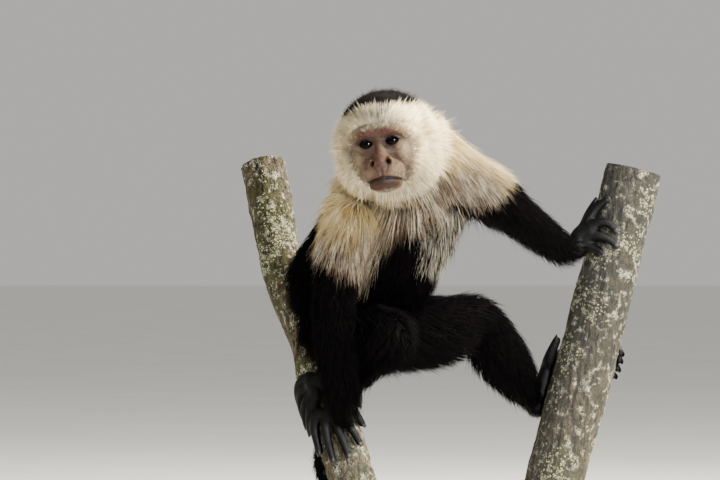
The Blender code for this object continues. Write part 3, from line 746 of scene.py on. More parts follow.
# edges of the pale mantle: its lower edge as x, z, its right rim as z, x, and its front as x, y
MANTLE_EDGE = [(-135, 392), (-118, 388), (-98, 368), (-66, 358), (-56, 385), (-44, 408), (-30, 422),
               (-8, 430), (12, 434), (60, 426)]
MANTLE_RIM = [(341, -93), (363, -115), (387, -124), (408, -121), (429, -112), (452, -101), (475, -94)]
MANTLE_FRONT = [(-120, -46), (-80, -28), (-30, -22), (10, -2), (60, 60)]
ARM_EDGE = (40.0, 417.0, 0.95)           # where the pale upper arm ends: x at a height, and its lean
# tan by height: the coat's own tan together with painted shade, darker down the mantle; the patches add tan,
# painted shade and painted light
TAN_AND_SHADE_LEVELS = [(340, 1.0), (380, 0.95), (425, 0.72), (462, 0.48), (482, 0.12)]
TAN_LIGHT_AND_SHADE_PATCHES = [((24, -60, 452), 36, 0.9),        # painted shade on the front of the left shoulder, under the head
                ((-4, -84, 448), 24, 0.5),        # painted shade in the hollow beside the jaw
                ((60, -12, 425), 22, 0.4),        # inner side of the upper arm
                ((-62, -143, 519), 16, 0.6),      # middle of the forehead
                ((-50, -146, 508), 17, 0.4),      # brow
                ((-68, -70, 402), 30, 0.35),      # painted shade on the chest below the chin
                ((-98, -74, 434), 32, -0.65)]     # painted light: the right side of the mantle made paler


def paleness(points, in_head):
    """Millimetres inside the pale part of the coat, below 0 in the black."""
    x, y, z = to_head(points).T
    head = 29.5 - 0.03 * np.abs(x) - 1.3 * np.maximum(y - 14, 0) - z
    x, y, z = points.T
    above = (z - read_off(x, MANTLE_EDGE)) * 0.8
    arm = ARM_EDGE[0] + ARM_EDGE[2] * (z - ARM_EDGE[1]) - x
    front = read_off(x, MANTLE_FRONT) - y + np.interp(z, [440, 475], [0, 12])
    rim = x - read_off(z, MANTLE_RIM)
    body = np.minimum(np.minimum(np.minimum(above, rim), arm), front)
    body = np.where((x > 20) & (z < 408), -9, body)
    return np.where(in_head, head, body) + wobble(points, 9, 2.5)


def warmth(points):
    """How far the pale coat has its tan, from 0 to 1: the coat's own tan with painted shade, and painted
    light where it is lowered.
    """
    found = read_off(points[:, 2], TAN_AND_SHADE_LEVELS)
    for middle, size, strength in TAN_LIGHT_AND_SHADE_PATCHES:
        found = found + strength * np.exp(-((points - np.array(middle)) ** 2).sum(1) / size ** 2)
    return np.clip(found + wobble(points, 7, 0.08), 0, 1)


def spots(local, *patches):
    """Soft patches on both sides of the face: each has a strength, x, z, half width and half height."""
    x, y, z = np.abs(local[:, 0]), local[:, 1], local[:, 2]
    return sum(strength * np.exp(-((x - at_x) / width) ** 2 - ((z - at_z) / height) ** 2) * (y < -24)
               for strength, at_x, at_z, width, height in patches)


def paint_skin(skin):
    """Numbers on the skin for its material: the same markings as the coat's, and the face's colours, with
    painted shade round the eyes, in the nostrils and along the mouth's parting.
    """
    points = read_points(skin.data)
    local = to_head(points)
    in_head = belongs_to_head(points)
    x, y, z = np.abs(local[:, 0]), local[:, 1], local[:, 2]
    ear = (x > 42) & (np.abs(z + 2) < 14) & (np.abs(y - 6) < 11)
    bare = np.maximum(np.clip((1.12 - bare_measure(local)) / 0.2, 0, 1) * in_head, (ear & in_head) * 1.0)
    flush = spots(local, (0.95, 13, 10, 14, 4.4), (0.3, 0, -14, 6, 12), (0.2, 8, -18, 5, 5),
                  (0.2, 9, -33, 9, 4))
    below = read_off(x, MOUTH) - z
    lip = np.exp(-((below - 5) / 6.5) ** 4 - (x / (20.5 - 0.05 * below ** 2)) ** 8) * (y < -30)
    # the mouth's parting darkened: painted shade in its groove
    parting_shade = np.exp(-(below / 1.1) ** 2) * (x < 20.5) * (y < -35)
    # the nostrils darkened: painted shade in the holes
    hollow = np.exp(-((x - NOSTRIL[0]) / 2.2) ** 2 - ((z - NOSTRIL[1]) / 2.8) ** 2) * (y > -53.5)
    # a dark edge round each eye opening: the lids' own dark skin, with painted shade where they meet the eye
    rim = np.zeros(len(points))
    for side in (-1, 1):
        opening = np.maximum(lid_opening(local, side), 0)
        rim = np.maximum(rim, np.exp(-(opening / 1.3) ** 2) * (y < EYE_DEPTH))
    # painted shade at the eyes' outer and inner corners, round the eyes and over the upper lids under the
    # brow
    corners = spots(local, (0.75, 23.5, 1, 5, 3), (0.45, 5, 1, 3.5, 4), (0.3, 14, -1, 11, 7),
                    (0.65, 15, 5.2, 11, 2.2))
    pale = spots(local, (0.5, 13, -31, 6, 6), (0.7, 25, -12, 5, 14))
    put_values(skin.data, bare=bare, cream=np.clip(paleness(points, in_head) / 6 + 0.5, 0, 1),
               flush=np.clip(flush + 0.2 * ear, 0, 1), pale=np.clip(pale * (1 - lip), 0, 1),
               dark=np.clip(0.7 * lip + 0.8 * parting_shade + 0.9 * rim + 0.9 * hollow + corners, 0, 1))


# ---------------------------------------------------------------- skin, eyes and nails

def belongs_to_head(points):
    """True where a point is nearer to the head than to the neck and trunk."""
    local = to_head(points)
    skull = np.minimum(ball(local, (0, 4, 3), (45, 47, 44)), ball(local, (0, -12, -20), (42, 38, 32)))
    return skull < np.minimum(tube(points, skin_of(SPINE)), tube(points, skin_of(SHOULDER_SLOPE))) + 4


def make_skin():
    """The skin of the whole animal, in place of its solids."""
    axes = [axis_samples(low, high, fine) for (low, high), fine in zip(SKIN_BOX, HEAD_BOX)]
    points, faces = surface_net(sample_field(axes), axes)
    skin = mesh_from("skin", points, faces)
    thin = skin.modifiers.new("thin", 'DECIMATE')
    thin.ratio = min(1.0, SKIN_TRIANGLES / (2 * len(faces)))
    thin.use_collapse_triangulate = True
    apply_modifiers(skin)
    drop_loose_shells(skin)
    skin.data.shade_smooth()
    paint_skin(skin)
    skin.data.materials.append(finish(bare_skin))
    sides = [part + side for side in ("_left", "_right")
             for part in ("ear", "upper_arm", "forearm", "hand", "thigh", "shin", "foot")]
    return place(skin, "face_skin", "head", "neck", "trunk", *sides, *["tail_%d" % (i + 1) for i in range(4)])


def drop_loose_shells(skin):
    """Keeps only the one great shell."""
    with opened(skin.data) as bm:
        left = set(bm.verts)
        shells = []
        while left:
            shell = [left.pop()]
            for vert in shell:
                found = {edge.other_vert(vert) for edge in vert.link_edges} & left
                left -= found
                shell += found
            shells.append(shell)
        shells.remove(max(shells, key=len))
        bmesh.ops.delete(bm, geom=[vert for shell in shells for vert in shell], context='VERTS')


def make_eye(side, name):
    """An eyeball with the swell of its cornea, looking a little towards the viewer's side."""
    eye = add_object(name, bpy.data.meshes.new(name))
    with opened(eye.data) as bm:
        bmesh.ops.create_uvsphere(bm, u_segments=64, v_segments=48, radius=1)
    sphere = read_rows(eye.data.vertices, "co").astype(float)
    off_axis = np.arccos(np.clip(sphere[:, 2], -1, 1))
    swell = 0.7 * np.clip(1 - (off_axis / 0.62) ** 2, 0, 1)
    gaze = Vector((-0.02 - 0.05 * side, -1, -0.03)).to_track_quat('Z', 'Y').to_matrix()
    local = (sphere * (EYE_RADIUS + swell)[:, None]) @ np.array(gaze).T + (side * EYE_OUT, EYE_DEPTH, 0)
    put_points(eye.data, from_head(local))
    put_values(eye.data, off_axis=off_axis)
    eye.data.shade_smooth()
    eye.data.materials.append(finish(wet_eye))
    return place(eye, "eye", name)


def nail_shape(tip, along, out, width):
    """A nail on a digit's tip: a plate bent round the digit, its free edge just past the tip."""
    length = width * NAIL_LENGTH
    side = np.cross(along, out)
    places = lattice([(0, 1), np.linspace(0, 1, NAIL_ROWS), np.linspace(-1, 1, NAIL_ROWS)])
    layer, v, u = places.reshape(-1, 3).T[:, :, None]
    bend = u * 1.15 * (1 - 0.35 * v ** 4 - 0.25 * (1 - v) ** 4)
    radius = width * 0.56 + 0.5 * (1 - layer)
    points = (tip + along * (length * (v - 0.72)) + side * np.sin(bend) * radius
              + out * (np.cos(bend) * radius - width * 0.05 - 0.9 * v ** 2))
    index = np.arange(NAIL_ROWS ** 2).reshape(NAIL_ROWS, NAIL_ROWS)
    upper = np.stack([index[:-1, :-1], index[:-1, 1:], index[1:, 1:], index[1:, :-1]], -1).reshape(-1, 4)
    rim = np.concatenate([index[0, :-1], index[:-1, -1], index[-1, :0:-1], index[:0:-1, 0]])
    after = np.roll(rim, -1)
    below = NAIL_ROWS ** 2
    edge = np.stack([after, rim, rim + below, after + below], 1)
    return points, np.vstack([upper, upper[:, ::-1] + below, edge])


def make_nails(name, perch, rays):
    """The five nails of a hand or foot, joined."""
    points = []
    faces = []
    for path in grip(perch, rays)[1:]:
        before, tip = np.array(path)[-2:, :3]
        along = unit(tip - before)
        middle = np.mean([perch_point(perch, angle, tip[2], 0) for angle in (0, 120, 240)], 0)
        out = tip - middle
        out = unit(out - along * (out @ along))
        radius = path[-1][3] - DIGIT_COAT
        plate, quads = nail_shape(tip + along * radius * 0.75, along, out, radius * 1.65)
        faces.append(quads + len(plate) * len(points))
        points.append(plate)
    nails = mesh_from(name, np.concatenate(points), np.concatenate(faces))
    with opened(nails.data) as bm:
        bmesh.ops.recalc_face_normals(bm, faces=bm.faces[:])
    nails.data.materials.append(finish(nail_horn))
    return place(nails, "black_skin")


# ---------------------------------------------------------------- coat

STRANDS = {"head": 150000, "body": 121000}
SHORT_STRAND = 16.0       # strands shorter than this are straight spikes
TIP_HEIGHT = 0.8          # height of a bent strand's tip, as a share of what a straight one would reach
STRAND_WIDTHS = [(1.5, 0.24), (8, 0.38), (20, 0.52), (34, 0.6)]     # length, width
STRAYS = {"head": 0.055, "body": 0.03}                              # share of hairs that stand out
STRAY_LENGTH = 1.4
BODY_RISE = 0.42          # how steeply hair stands off the skin, 0 where it lies flat
HEAD_RISE = [(0.9, 0.3), (1.2, 0.45), (1.6, 0.6)]                   # measure of the bare face, rise
HEAD_DEPTH = [(0.9, 0.5), (1.05, 0.8), (1.2, 1.8), (1.4, 4.5), (1.8, 7.5)]
FACE_DOWN = [(0.6, 0.06), (0.88, 0.3), (1.0, 0.95)]                 # measure, share of hairs that grow
BROW_DOWN = [(0.8, 0.03), (0.95, 0.16), (1.04, 0.8)]
FACE_FUZZ = [(0.95, 0.6), (1.15, 0.0)]                              # measure, greyness of the down
LOCK_SIZES = {"head": 2.5, "body": 4.0}
LIE_BLEND = 12.0          # over this distance one region's lie gives way to the next
DIGIT_DEPTH = 2.0
EAR_DEPTH = 1.5
PATCH = 0.003             # width of a strand's patch on the coat's map
PIECE_TRIANGLES = 190000  # the most in one piece of coat
PIECE_STRANDS = 50        # fewer than this make no piece
LIES = {"spine": SPINE, "back": BACK, "slope": SHOULDER_SLOPE, "flank": FLANK_FOLD,
        "arm_right": [(-62, -84, 458, 30, 10)] + ARM_RIGHT, "arm_left": [(-28, -68, 474, 30, 8)] + ARM_LEFT,
        "leg_right": LEG_RIGHT, "leg_left": LEG_LEFT, "tail": TAIL}
REGIONS = [*LIES, "head"]


def lie_along(points, stations, parts):
    """Distance to a line's skin, share along it, its direction and the coat's depth there."""
    line = smooth_line(stations, parts)
    count = len(line) - 1
    best = np.full(len(points), 1e9)
    share = np.zeros(len(points))
    for i, (start, end) in enumerate(zip(line, line[1:])):
        run = end[:3] - start[:3]
        away = points - start[:3]
        part = np.clip(away @ run / max(run @ run, 1e-9), 0, 1)
        radius = start[3] - start[4] + part * (end[3] - end[4] - start[3] + start[4])
        distance = np.linalg.norm(away - part[:, None] * run, axis=1) - radius
        nearer = distance < best
        best[nearer] = distance[nearer]
        share[nearer] = i + part[nearer]
    runs = unit(np.diff(line[:, :3], axis=0))
    runs = np.vstack([runs, runs[-1:]])
    steps = np.arange(count + 1)
    direction = np.stack([np.interp(share, steps, column) for column in runs.T], 1)
    return best, share / count, direction, np.interp(share, steps, line[:, 4])


def skin_samples(skin, rng):
    """Roots spread over the skin: closer on the head and where the coat is pale. Gives places and outward
    normals."""
    mesh = skin.data
    mesh.calc_loop_triangles()
    corners = read_rows(mesh.loop_triangles, "vertices", np.int32)
    points = read_points(mesh)
    normals = read_rows(mesh.vertices, "normal").astype(float)
    a, b, c = points[corners].transpose(1, 0, 2)
    area = np.linalg.norm(np.cross(b - a, c - a), axis=1) / 2
    middles = (a + b + c) / 3
    on_head = belongs_to_head(middles)
    closer = np.where(on_digits(middles), 3.0, np.where(paleness(middles, on_head) > -6, 3.6, 1.0))
    chosen = []
    for wanted, mask in ((STRANDS["head"], on_head), (STRANDS["body"], ~on_head)):
        weight = area * mask * np.where(on_head, 1, closer)
        chosen.append(rng.choice(len(area), wanted, p=weight / weight.sum()))
    chosen = corners[np.concatenate(chosen)]
    u = rng.random((len(chosen), 2))
    u[u.sum(1) > 1] = 1 - u[u.sum(1) > 1]
    shares = np.stack([1 - u.sum(1), u[:, 0], u[:, 1]], 1)[:, :, None]
    return (points[chosen] * shares).sum(1), unit((normals[chosen] * shares).sum(1))


def on_digits(points):
    """True on palms, soles and digits, where the hair is short and sparse."""
    found = np.zeros(len(points), bool)
    for limb, perch, rays in HANDS.values():
        far = tube(points, skin_of(limb))
        for path in grip(perch, rays):
            near = tube(points, skin_of(path), 2)
            found |= (near < 3) & (near < far - 1)
    return found


def head_depth(local, measure, forehead):
    """The coat's depth on the head: from down at the edge of the face to the ruff on cheeks and throat."""
    x, y, z = np.abs(local[:, 0]), local[:, 1], local[:, 2]
    cheek = fade(z, -2, -18) * fade(x, 12, 26)
    depth = read_off(measure, HEAD_DEPTH)
    depth = depth + (3.5 + 1.5 * fade(z, -28, -40)) * cheek * fade(measure, 1.15, 1.55)
    depth = np.where(fade(y, -10, 10) > 0.5, np.maximum(depth, 7.0), depth)
    depth += (np.minimum(depth, 3.2) - depth) * forehead
    depth += 4 * np.exp(-((z + 2) / 20) ** 2) * fade(x, 32, 40)
    on_ear = ball(np.stack([x, y, z], 1), (EAR_OUT, *EAR_PLACE), EAR_SIZES) < 1.2
    return np.where(on_ear, EAR_DEPTH, depth)


def find_lie(roots, outward):
    """Where each root is, how deep the coat is there and which way it lies, before chance has its share."""
    found = [lie_along(roots, line, 2 if name == "tail" else 3) for name, line in LIES.items()]
    distances, shares, directions, depths = [np.array(part) for part in zip(*found)]
    weights = np.exp(-(distances - distances.min(0)) / LIE_BLEND)
    weights /= weights.sum(0)
    region = distances.argmin(0)
    along = shares[region, np.arange(len(roots))]
    digit = on_digits(roots)
    local = to_head(roots)
    head = belongs_to_head(roots)
    x, y, z = local.T
    measure = bare_measure(local)
    forehead = fade(z, 8, 14) * fade(y, -12, -22) * fade(np.abs(x), 38, 30)
    flow = local - np.array((0, -72, -14))
    flow[:, 2] -= 26 * fade(z, -8, -28)
    region = np.where(head, len(LIES), region)
    along = np.where(head, fade(z, -60, 55), along)
    lie = np.where(head[:, None], unit(flow @ head_turn().T), (weights[:, :, None] * directions).sum(0))
    depth = np.where(digit, DIGIT_DEPTH, (weights * depths).sum(0))
    depth = np.where(head, head_depth(local, measure, forehead), depth)
    return {"root": roots, "outward": outward, "region": region, "along": along, "digit": digit, "head": head,
            "measure": measure, "forehead": forehead, "lie": unit(lie), "depth": depth}


def comb(coat, rng):
    """Gives each strand its direction, rise, length, width and colour, with its share of chance."""
    roots, outward, region, digit, head, measure, forehead, lie, depth = [coat[key] for key in (
        "root", "outward", "region", "digit", "head", "measure", "forehead", "lie", "depth")]
    pale_by = paleness(roots, head) + rng.normal(0, np.where(head, 1.7, 3.0))
    pale = (pale_by > 0) & (head | (rng.random(len(roots)) > np.clip((22 - pale_by) / 90, 0, 0.22)))
    lie[:, 2] -= np.where(head, 0.1, 0.35) * np.clip(depth / 8, 0, 1)
    lie = lie + rng.normal(0, 0.13, lie.shape) * np.where(head, 1 - 0.5 * forehead, 1.0)[:, None]
    lie = unit(lie - outward * (lie * outward).sum(1)[:, None])
    rise = np.where(head, read_off(measure, HEAD_RISE) * (1 - 0.4 * forehead), BODY_RISE)
    length = depth / rise / TIP_HEIGHT * rng.uniform(0.7, 1.1, len(roots))
    rise = np.clip(rise + rng.normal(0, 0.06, len(roots)), 0.15, 0.8)
    stray = rng.random(len(roots)) < np.where(head, STRAYS["head"] * (1 - 0.7 * forehead), STRAYS["body"])
    stray &= (~head | (measure > 1.25)) & ~digit
    length = np.where(stray, length * STRAY_LENGTH, length)
    rise = np.where(stray, rise + 0.1, rise)
    fringe = pale & ~head & (pale_by < 14)
    on_arm = region == REGIONS.index("arm_left")
    length = np.where(fringe, length * np.where(on_arm, 0.7, 1.15), length)
    width = read_off(length, STRAND_WIDTHS) * rng.uniform(0.75, 1.25, len(roots))
    width = np.where(pale | head, width * 0.75, width * 1.2)
    # grey strands low on the black flank are painted rim light, light from behind shining through the fur
    rim_light_share = fade(roots[:, 0], -20, -6) * fade(roots[:, 2], 352, 366) * (pale_by < 0) * 0.8
    grey = rim_light_share > rng.random(len(roots))
    grey &= ~head & np.isin(region, [REGIONS.index(name) for name in ("spine", "flank")])
    length = np.where(grey, length * 0.75, length)
    fuzz = read_off(measure, FACE_FUZZ)
    # the tan number also carries painted shade and painted light; it rises towards the pale coat's edge and
    # on the face's down
    tan_and_painted_light = warmth(roots) + np.where(head, 1.2 * fuzz, 0.3 * fade(pale_by, 30, 0))
    spread = np.clip(rng.normal(np.where(head, 0.42 - 1.5 * fuzz, 0.04), 0.22), 0, 1)
    # this grey number holds the face's grey down and the flank's painted rim light
    grey_and_rim_light = np.where(grey, 0.85, np.where(head, fuzz, 0))
    return {**coat, "lie": lie, "rise": rise, "length": length, "width": width, "pale": pale | grey,
            "tan_and_painted_light": np.clip(tan_and_painted_light, 0, 1), "grey_and_rim_light": grey_and_rim_light, "spread": spread}


def pick(coat, chosen):
    """The strands that are chosen, with all that is known of them."""
    return {key: value[chosen] for key, value in coat.items()}


def keep_growing(coat, rng):
    """Leaves out hair where there is none: eyes, nose, lips, palms, inside the nostrils and under a grip."""
    roots = coat["root"]
    x, y, z = to_head(roots).T
    on_brow = (z > 4) & (np.abs(x) < 29)
    share = np.where(on_brow, read_off(coat["measure"], BROW_DOWN), read_off(coat["measure"], FACE_DOWN))
    keep = ~(coat["head"] & (coat["measure"] < 1.04) & (rng.random(len(roots)) > share))
    both = np.stack([np.abs(x), y, z], 1)
    keep &= ball(both, (EYE_OUT, EYE_DEPTH, 0), [EYE_RADIUS + 3.2] * 3) > 0
    keep &= ~((np.abs(np.abs(x) - 6) < 8) & (np.abs(z + 22) < 8) & (y < -44))
    mouth = read_off(np.abs(x), MOUTH)
    keep &= ~((z < mouth + 3) & (z > mouth - 11.5) & (np.abs(x) < 21) & (y < -36))
    for perch in (PERCH_RIGHT, PERCH_LEFT):
        gap = perch_field(roots, perch)
        facing = perch_field(roots + coat["outward"] * 3, perch) < gap + 0.5
        keep &= (gap > 1.2) & ~(coat["digit"] & facing)
    return keep


def clump(coat, size):
    """Draws the tips of neighbouring strands together, as in locks of real fur."""
    roots = coat["root"]
    x, y, z = roots.T
    sway = np.stack([np.sin(y * 0.31) + np.sin(z * 0.23), np.sin(z * 0.29) + np.sin(x * 0.27),
                     np.sin(x * 0.33) + np.sin(y * 0.21)], 1)
    cells = np.floor((roots + sway * size[:, None] * 0.45) / size[:, None]).astype(np.int64)
    cells -= cells.min(0)
    spans = cells.max(0) + 1
    keys = ((coat["region"] * spans[0] + cells[:, 0]) * spans[1] + cells[:, 1]) * spans[2] + cells[:, 2]
    _, group = np.unique(keys, return_inverse=True)
    middles = np.stack([np.bincount(group, column) for column in roots.T], 1) / np.bincount(group)[:, None]
    return middles[group] - roots, group


def push_out(points, gap):
    """Moves points that would lie in a perch out to its bark."""
    for stations in (PERCH_RIGHT, PERCH_LEFT):
        deep = gap - perch_field(points, stations)
        inside = np.flatnonzero(deep > 0)
        x, y, level, _ = np.array(stations, float).T
        middle = np.stack([np.interp(points[inside, 2], level, line) for line in (x, y)], 1)
        points[inside, :2] += unit(points[inside, :2] - middle) * deep[inside, None] * 1.15
    return points


def grow(coat, rings):
    """Points of every strand: rings of three round a bent line, and the tip."""
    outward, rise, length = coat["outward"], coat["rise"][:, None], coat["length"][:, None]
    first = coat["lie"] * np.sqrt(1 - rise ** 2) + outward * rise
    last = coat["lie"] + outward * (rise * 0.55)
    last[:, 2] -= np.where(coat["head"], 0.08, 0.3) * np.clip(coat["length"] / 20, 0, 1)
    last = unit(last)
    pull, group = clump(coat, np.where(coat["head"], LOCK_SIZES["head"], LOCK_SIZES["body"]))
    pull *= np.where(coat["head"], 0.3, 0.35)[:, None]
    side = unit(np.cross(first, outward))
    up = np.cross(side, first)
    places = []
    for k in range(rings + 1):
        s = k / rings
        middle = coat["root"] + length * (first * s + (last - first) * s * s / 2) + pull * s ** 1.3
        if k == 0:
            middle = middle - first * 0.5
        middle = push_out(middle, 0.5)
        half = (coat["width"] * (1 - 0.45 * s ** 2) / 2)[:, None]
        ring = [middle - side * half, middle + side * half, middle + up * half * 0.9]
        places.append(np.stack(ring if k < rings else [middle], 1))
    return np.concatenate(places, 1), group


def strand_faces(rings):
    """Faces of one strand, each a triangle: foot, sides and tip, pointing outwards."""
    faces = [(0, 1, 2)]
    for k in range(rings):
        for i, j in ((0, 1), (1, 2), (2, 0)):
            a, b = 3 * k + i, 3 * k + j
            faces += [(b, a, 3 * rings)] if k == rings - 1 else [(b, a, a + 3), (b, a + 3, b + 3)]
    return np.array(faces)


def coat_piece(name, places, coat, rings, material, slot):
    """One piece of coat: its strands as a mesh, with the numbers its material reads and its own map."""
    per = 3 * rings + 1
    faces = (np.arange(len(places))[:, None, None] * per + strand_faces(rings)).reshape(-1, 3)
    piece = mesh_from(name, places.reshape(-1, 3), faces)
    steps = np.concatenate([np.repeat(np.arange(rings) / rings, 3), [1.0]])
    put_values(piece.data, along=np.tile(steps, len(places)),
               **{key: np.repeat(coat[key], per) for key in ("tan_and_painted_light", "grey_and_rim_light", "spread")})
    # each strand is a small patch at its root's place on the unrolled region
    across = np.concatenate([np.tile([-0.5, 0.5, 0], rings), [0]]) * PATCH
    u, v = coat["patch"].T[:, :, None]
    uv = np.stack([u + across, v + (steps - 0.5) * PATCH], -1).reshape(-1, 2)[faces.ravel()]
    layer = piece.data.uv_layers.new(name="OFBake")
    layer.data.foreach_set("uv", np.clip(uv, 0.0, 1.0).astype(np.float32).ravel())
    piece.data.materials.append(material)
    return place(piece, slot)


def unrolled(coat):
    """Each root's place on a flat unwrap of its own region: round the middle line, and along it."""
    axes = [np.subtract(line[-1][:3], line[0][:3]) for line in LIES.values()] + [head_turn()[:, 2]]
    about = unit(np.array(axes))[coat["region"]]
    aside = unit(np.cross(about, np.array((0.3, 1.0, 0.2))))
    ahead = np.cross(about, aside)
    outward = coat["outward"]
    angle = np.arctan2((outward * aside).sum(1), (outward * ahead).sum(1)) / math.tau + 0.5
    return np.stack([0.02 + 0.96 * angle, 0.02 + 0.96 * coat["along"]], 1)


def make_coat(skin):
    """The whole coat, in pieces of one region and one colour each."""
    rng = np.random.default_rng(SEED)
    coat = comb(find_lie(*skin_samples(skin, rng)), rng)
    coat = pick(coat, keep_growing(coat, rng))
    coat["patch"] = unrolled(coat)
    looks = {True: (finish(cream_guard_hair), "cream_fur", "cream"),
             False: (finish(black_guard_hair), "black_fur", "black")}
    trunk = {"spine", "back", "slope", "flank"}
    parts = {"trunk": trunk, **{region: {region} for region in REGIONS if region not in trunk}}
    short = coat["length"] < SHORT_STRAND
    for rings, kind, chosen in ((1, "short", short), (2, "long", ~short)):
        strands = pick(coat, chosen)
        places, group = grow(strands, rings)
        lock = np.random.default_rng(SEED + rings).normal(0, 0.16, group.max() + 1)[group]
        strands["spread"] = np.clip(strands["spread"] + lock, 0, 1)
        most = PIECE_TRIANGLES // len(strand_faces(rings))
        for part, regions in parts.items():
            inside = np.isin(strands["region"], [REGIONS.index(region) for region in regions])
            for pale, (material, slot, colour) in looks.items():
                here = np.flatnonzero(inside & (strands["pale"] == pale))
                if len(here) < PIECE_STRANDS:
                    continue
                for i, some in enumerate(np.array_split(here, math.ceil(len(here) / most))):
                    name = "coat_%s_%s_%s_%d" % (part, colour, kind, i + 1)
                    coat_piece(name, places[some], pick(strands, some), rings, material, slot)


# ---------------------------------------------------------------- perches and stand

def value_noise(points, size, seed):
    """Smooth noise from -1 to 1, its features about so many millimetres across."""
    base = np.floor(points / size).astype(np.int64)
    t = points / size - base
    t = t * t * (3 - 2 * t)
    total = np.zeros(len(points))
    for corner in np.ndindex(2, 2, 2):
        h = ((base + corner) * (374761393, 668265263, 2147483647)).sum(1) + seed * 974634777 & 0x7FFFFFFF
        h = (h ^ (h >> 13)) * 1274126177 & 0x7FFFFFFF
        total += (((h ^ (h >> 16)) & 0xFFFF) / 32767.5 - 1) * np.where(corner, t, 1 - t).prod(1)
    return total


def make_perch(name, stations, knots, moss, seed):
    """A cut length of trunk with its bark: plates and fissures along it, knots, a sawn foot and top, and
    moss with painted shade, given low down and high up."""
    line = smooth_line(stations, 40)
    line = line[line[:, 2] >= PERCH_FOOT_LEVEL + 0.5]
    ahead = np.vstack([line[1:], line[-1:]]) - np.vstack([line[:1], line[:-1]])
    axes = np.array([perch_axes(Vector(along[:3]).normalized()) for along in ahead])
    turn = np.linspace(0, math.tau, PERCH_SIDES, endpoint=False)
    out = (np.cos(turn)[:, None] * axes[:, None, 0] + np.sin(turn)[:, None] * axes[:, None, 1]).reshape(-1, 3)
    x, y, level, radius = np.repeat(line, PERCH_SIDES, 0).T
    turn = np.tile(turn, len(line))
    swell = radius * (1 + 0.03 * np.sin(2 * turn + 0.021 * level) + 0.015 * np.sin(0.06 * level))
    surface = np.stack([x, y, level], 1) + out * swell[:, None]
    stretched = surface * (1, 1, 0.3)
    plates = value_noise(stretched, 7, seed)
    fissure = np.clip(1 - np.abs(plates + 0.35 * value_noise(stretched, 3, seed + 1)) / 0.16, 0, 1)
    relief = (0.9 * value_noise(surface, 22, seed + 2) + 0.6 * value_noise(stretched, 5, seed + 3)
              + 0.45 * value_noise(surface, 2, seed + 4) - 1.7 * fissure)
    for angle, height, size, rise in knots:
        across = (turn - math.radians(angle) + math.pi) % math.tau - math.pi
        away = np.hypot(across * radius, level - height) / size
        relief += rise * (np.exp(-away ** 2 * 1.6) + 0.35 * np.cos(away * 9) * np.exp(-away ** 2))
    surface = surface + out * np.clip(relief, -2.2, 2.4)[:, None]
    surface[:PERCH_SIDES, 2] = PERCH_FOOT_LEVEL
    index = np.arange(len(surface)).reshape(-1, PERCH_SIDES)
    after = np.roll(index, -1, 1)
    faces = np.stack([index[:-1], after[:-1], after[1:], index[1:]], -1).reshape(-1, 4)
    piece = mesh_from(name, surface, faces)
    # fissure darkens the cracks as painted shade; the moss number rises up the trunk and is moss with painted
    # shade
    put_values(piece.data, fissure=fissure * 0.8, moss=np.interp(level, [150, 330], moss), radial=radius)
    with opened(piece.data) as bm:
        radial = bm.verts.layers.float["radial"]
        for rim in (index[0], index[-1]):
            bm.verts.ensure_lookup_table()
            sawn = bm.faces.new([bm.verts[i] for i in rim])
            sawn.material_index = 1
            heart = bmesh.ops.poke(bm, faces=[sawn])["verts"][0]
            heart[radial] = 0.0
        bmesh.ops.recalc_face_normals(bm, faces=bm.faces[:])
    piece.data.set_sharp_from_angle(angle=math.radians(60))
    piece.data.materials.append(finish(weathered_bark))
    piece.data.materials.append(finish(sawn_end_grain))
    return place(piece, "bark", name)


def lichen_tree(seed):
    """Small flat crusts strewn over bark: points spread by chance in patches, a low dome on each."""
    tree = bpy.data.node_groups.new("lichen", 'GeometryNodeTree')
    for name in ("Geometry", "Crowding", "Patch Size", "Crust Size"):
        kind = "NodeSocketGeometry" if name == "Geometry" else "NodeSocketFloat"
        tree.interface.new_socket(name, in_out='INPUT', socket_type=kind)
    tree.interface.new_socket("Geometry", in_out='OUTPUT', socket_type='NodeSocketGeometry')
    given = tree.nodes.new("NodeGroupInput").outputs
    fineness = node(tree, "ShaderNodeMath", {0: 1.0, 1: given["Patch Size"]}, operation='DIVIDE')
    patches = node(tree, "ShaderNodeTexNoise", {"Scale": fineness, "Detail": 2.0})
    crowd = node(tree, "ShaderNodeMapRange", {"Value": patches, "From Min": 0.53, "From Max": 0.62,
                                              "To Max": given["Crowding"]})
    points = node(tree, "GeometryNodeDistributePointsOnFaces", {"Mesh": given["Geometry"], "Density": crowd,
                                                                "Seed": seed}, "Points")
    dome = node(tree, "GeometryNodeMeshIcoSphere", {"Radius": given["Crust Size"], "Subdivisions": 1})
    sizes = {"Min": (0.5, 0.5, 0.3), "Max": (2.0, 1.5, 0.55), "Seed": seed}
    size = node(tree, "FunctionNodeRandomValue", sizes, data_type='FLOAT_VECTOR')
    crusts = node(tree, "GeometryNodeInstanceOnPoints", {"Points": points, "Instance": dome, "Scale": size,
                                                         "Rotation": points.node.outputs["Rotation"]})
    spin = node(tree, "FunctionNodeRandomValue", {"Max": (0.0, 0.0, math.tau), "Seed": seed + 1},
                data_type='FLOAT_VECTOR')
    spun = node(tree, "GeometryNodeRotateInstances", {"Instances": crusts, "Rotation": spin})
    real = node(tree, "GeometryNodeRealizeInstances", {"Geometry": spun})
    dressed = node(tree, "GeometryNodeSetMaterial", {"Geometry": real, "Material": finish(crustose_lichen)})
    feed(tree, tree.nodes.new("NodeGroupOutput").inputs[0], dressed)
    return tree


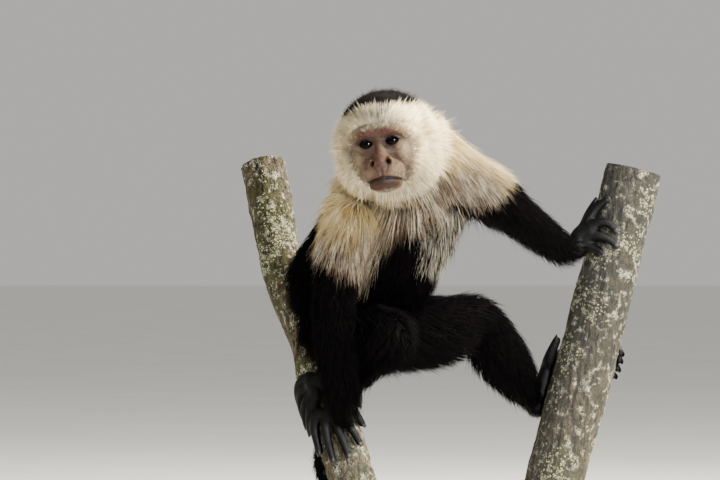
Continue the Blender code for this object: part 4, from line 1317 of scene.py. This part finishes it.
def grow_lichen(name, perch, crowding, seed):
    """Lichen on a perch: so many crusts to the square metre where they are thickest."""
    lichen = add_object(name, perch.data.copy())
    strewn = lichen.modifiers.new("strewn", 'NODES')
    strewn.node_group = lichen_tree(seed)
    sizes = {"Crowding": crowding, "Patch Size": 36 * MM, "Crust Size": 1 * MM}
    for socket in strewn.node_group.interface.items_tree:
        if socket.name in sizes:
            strewn[socket.identifier] = sizes[socket.name]
    apply_modifiers(lichen)
    return place(lichen, "bark")


def dress_stand():
    """The stand's own solids stay: they get their finishes."""
    for name, look in (("stand_base", satin_powder_coat), ("stand_rod_left", brushed_stainless_steel),
                       ("stand_rod_right", brushed_stainless_steel)):
        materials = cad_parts[name].data.materials
        materials.clear()
        materials.append(finish(look))


# ---------------------------------------------------------------- studio

def make_floor():
    bpy.ops.mesh.primitive_plane_add(size=60, location=(0, 0, 0))
    floor = bpy.context.object
    floor.name = "studio_floor"
    floor.data.materials.append(finish(studio_paper))


def add_light(name, at, size, power, colour):
    """A round lamp that shines on the animal's middle."""
    data = bpy.data.lights.new(name, 'AREA')
    data.shape = 'DISK'
    data.size = size
    data.energy = power
    data.color = shade(colour)[:3]
    light = add_object(name, data)
    light.location = at
    light.rotation_euler = (Vector(AIM) - Vector(at)).to_track_quat('-Z', 'Y').to_euler()
    return light


def light_studio():
    """Soft daylight from above and the right, a wide fill from the camera's side, a rim from behind."""
    add_light("key", (1.7, -0.35, 1.9), 0.6, 365, "fff8ea")
    add_light("fill", (-1.7, -1.9, 1.9), 1.6, 42, "f4f6ff")
    add_light("rim", (0.9, 1.3, 1.5), 0.8, 80, "fffaf0")
    catch = add_light("catch", (0.75, -1.6, 0.62), 0.3, 240, "ffffff")
    catch.visible_diffuse = False        # it only puts the glint in the eyes
    world = bpy.data.worlds.new("studio")
    world.use_nodes = True
    sky = world.node_tree.nodes["Background"].inputs
    sky["Color"].default_value = shade("eceae6")
    sky["Strength"].default_value = 0.62
    bpy.context.scene.world = world


def set_camera():
    data = bpy.data.cameras.new("camera")
    data.lens = 200
    data.sensor_width = 36
    data.clip_end = 100
    camera = add_object("camera", data)
    camera.location = CAMERA_AT
    camera.rotation_euler = (math.pi / 2, 0, 0)
    bpy.context.scene.camera = camera


set_camera()
light_studio()
make_floor()
dress_stand()
right = make_perch("perch_right", PERCH_RIGHT, KNOTS_RIGHT, (0.1, 0.2), 11)
# the left perch gets more moss and painted shade, most of it high up
left = make_perch("perch_left", PERCH_LEFT, KNOTS_LEFT, (0.4, 0.9), 29)
grow_lichen("lichen_right", right, 140000.0, 3)
grow_lichen("lichen_left", left, 80000.0, 8)
skin = make_skin()
make_eye(1, "eye_left")
make_eye(-1, "eye_right")
for part, (limb, perch, rays) in HANDS.items():
    make_nails("nails_" + part, perch, rays)
make_coat(skin)
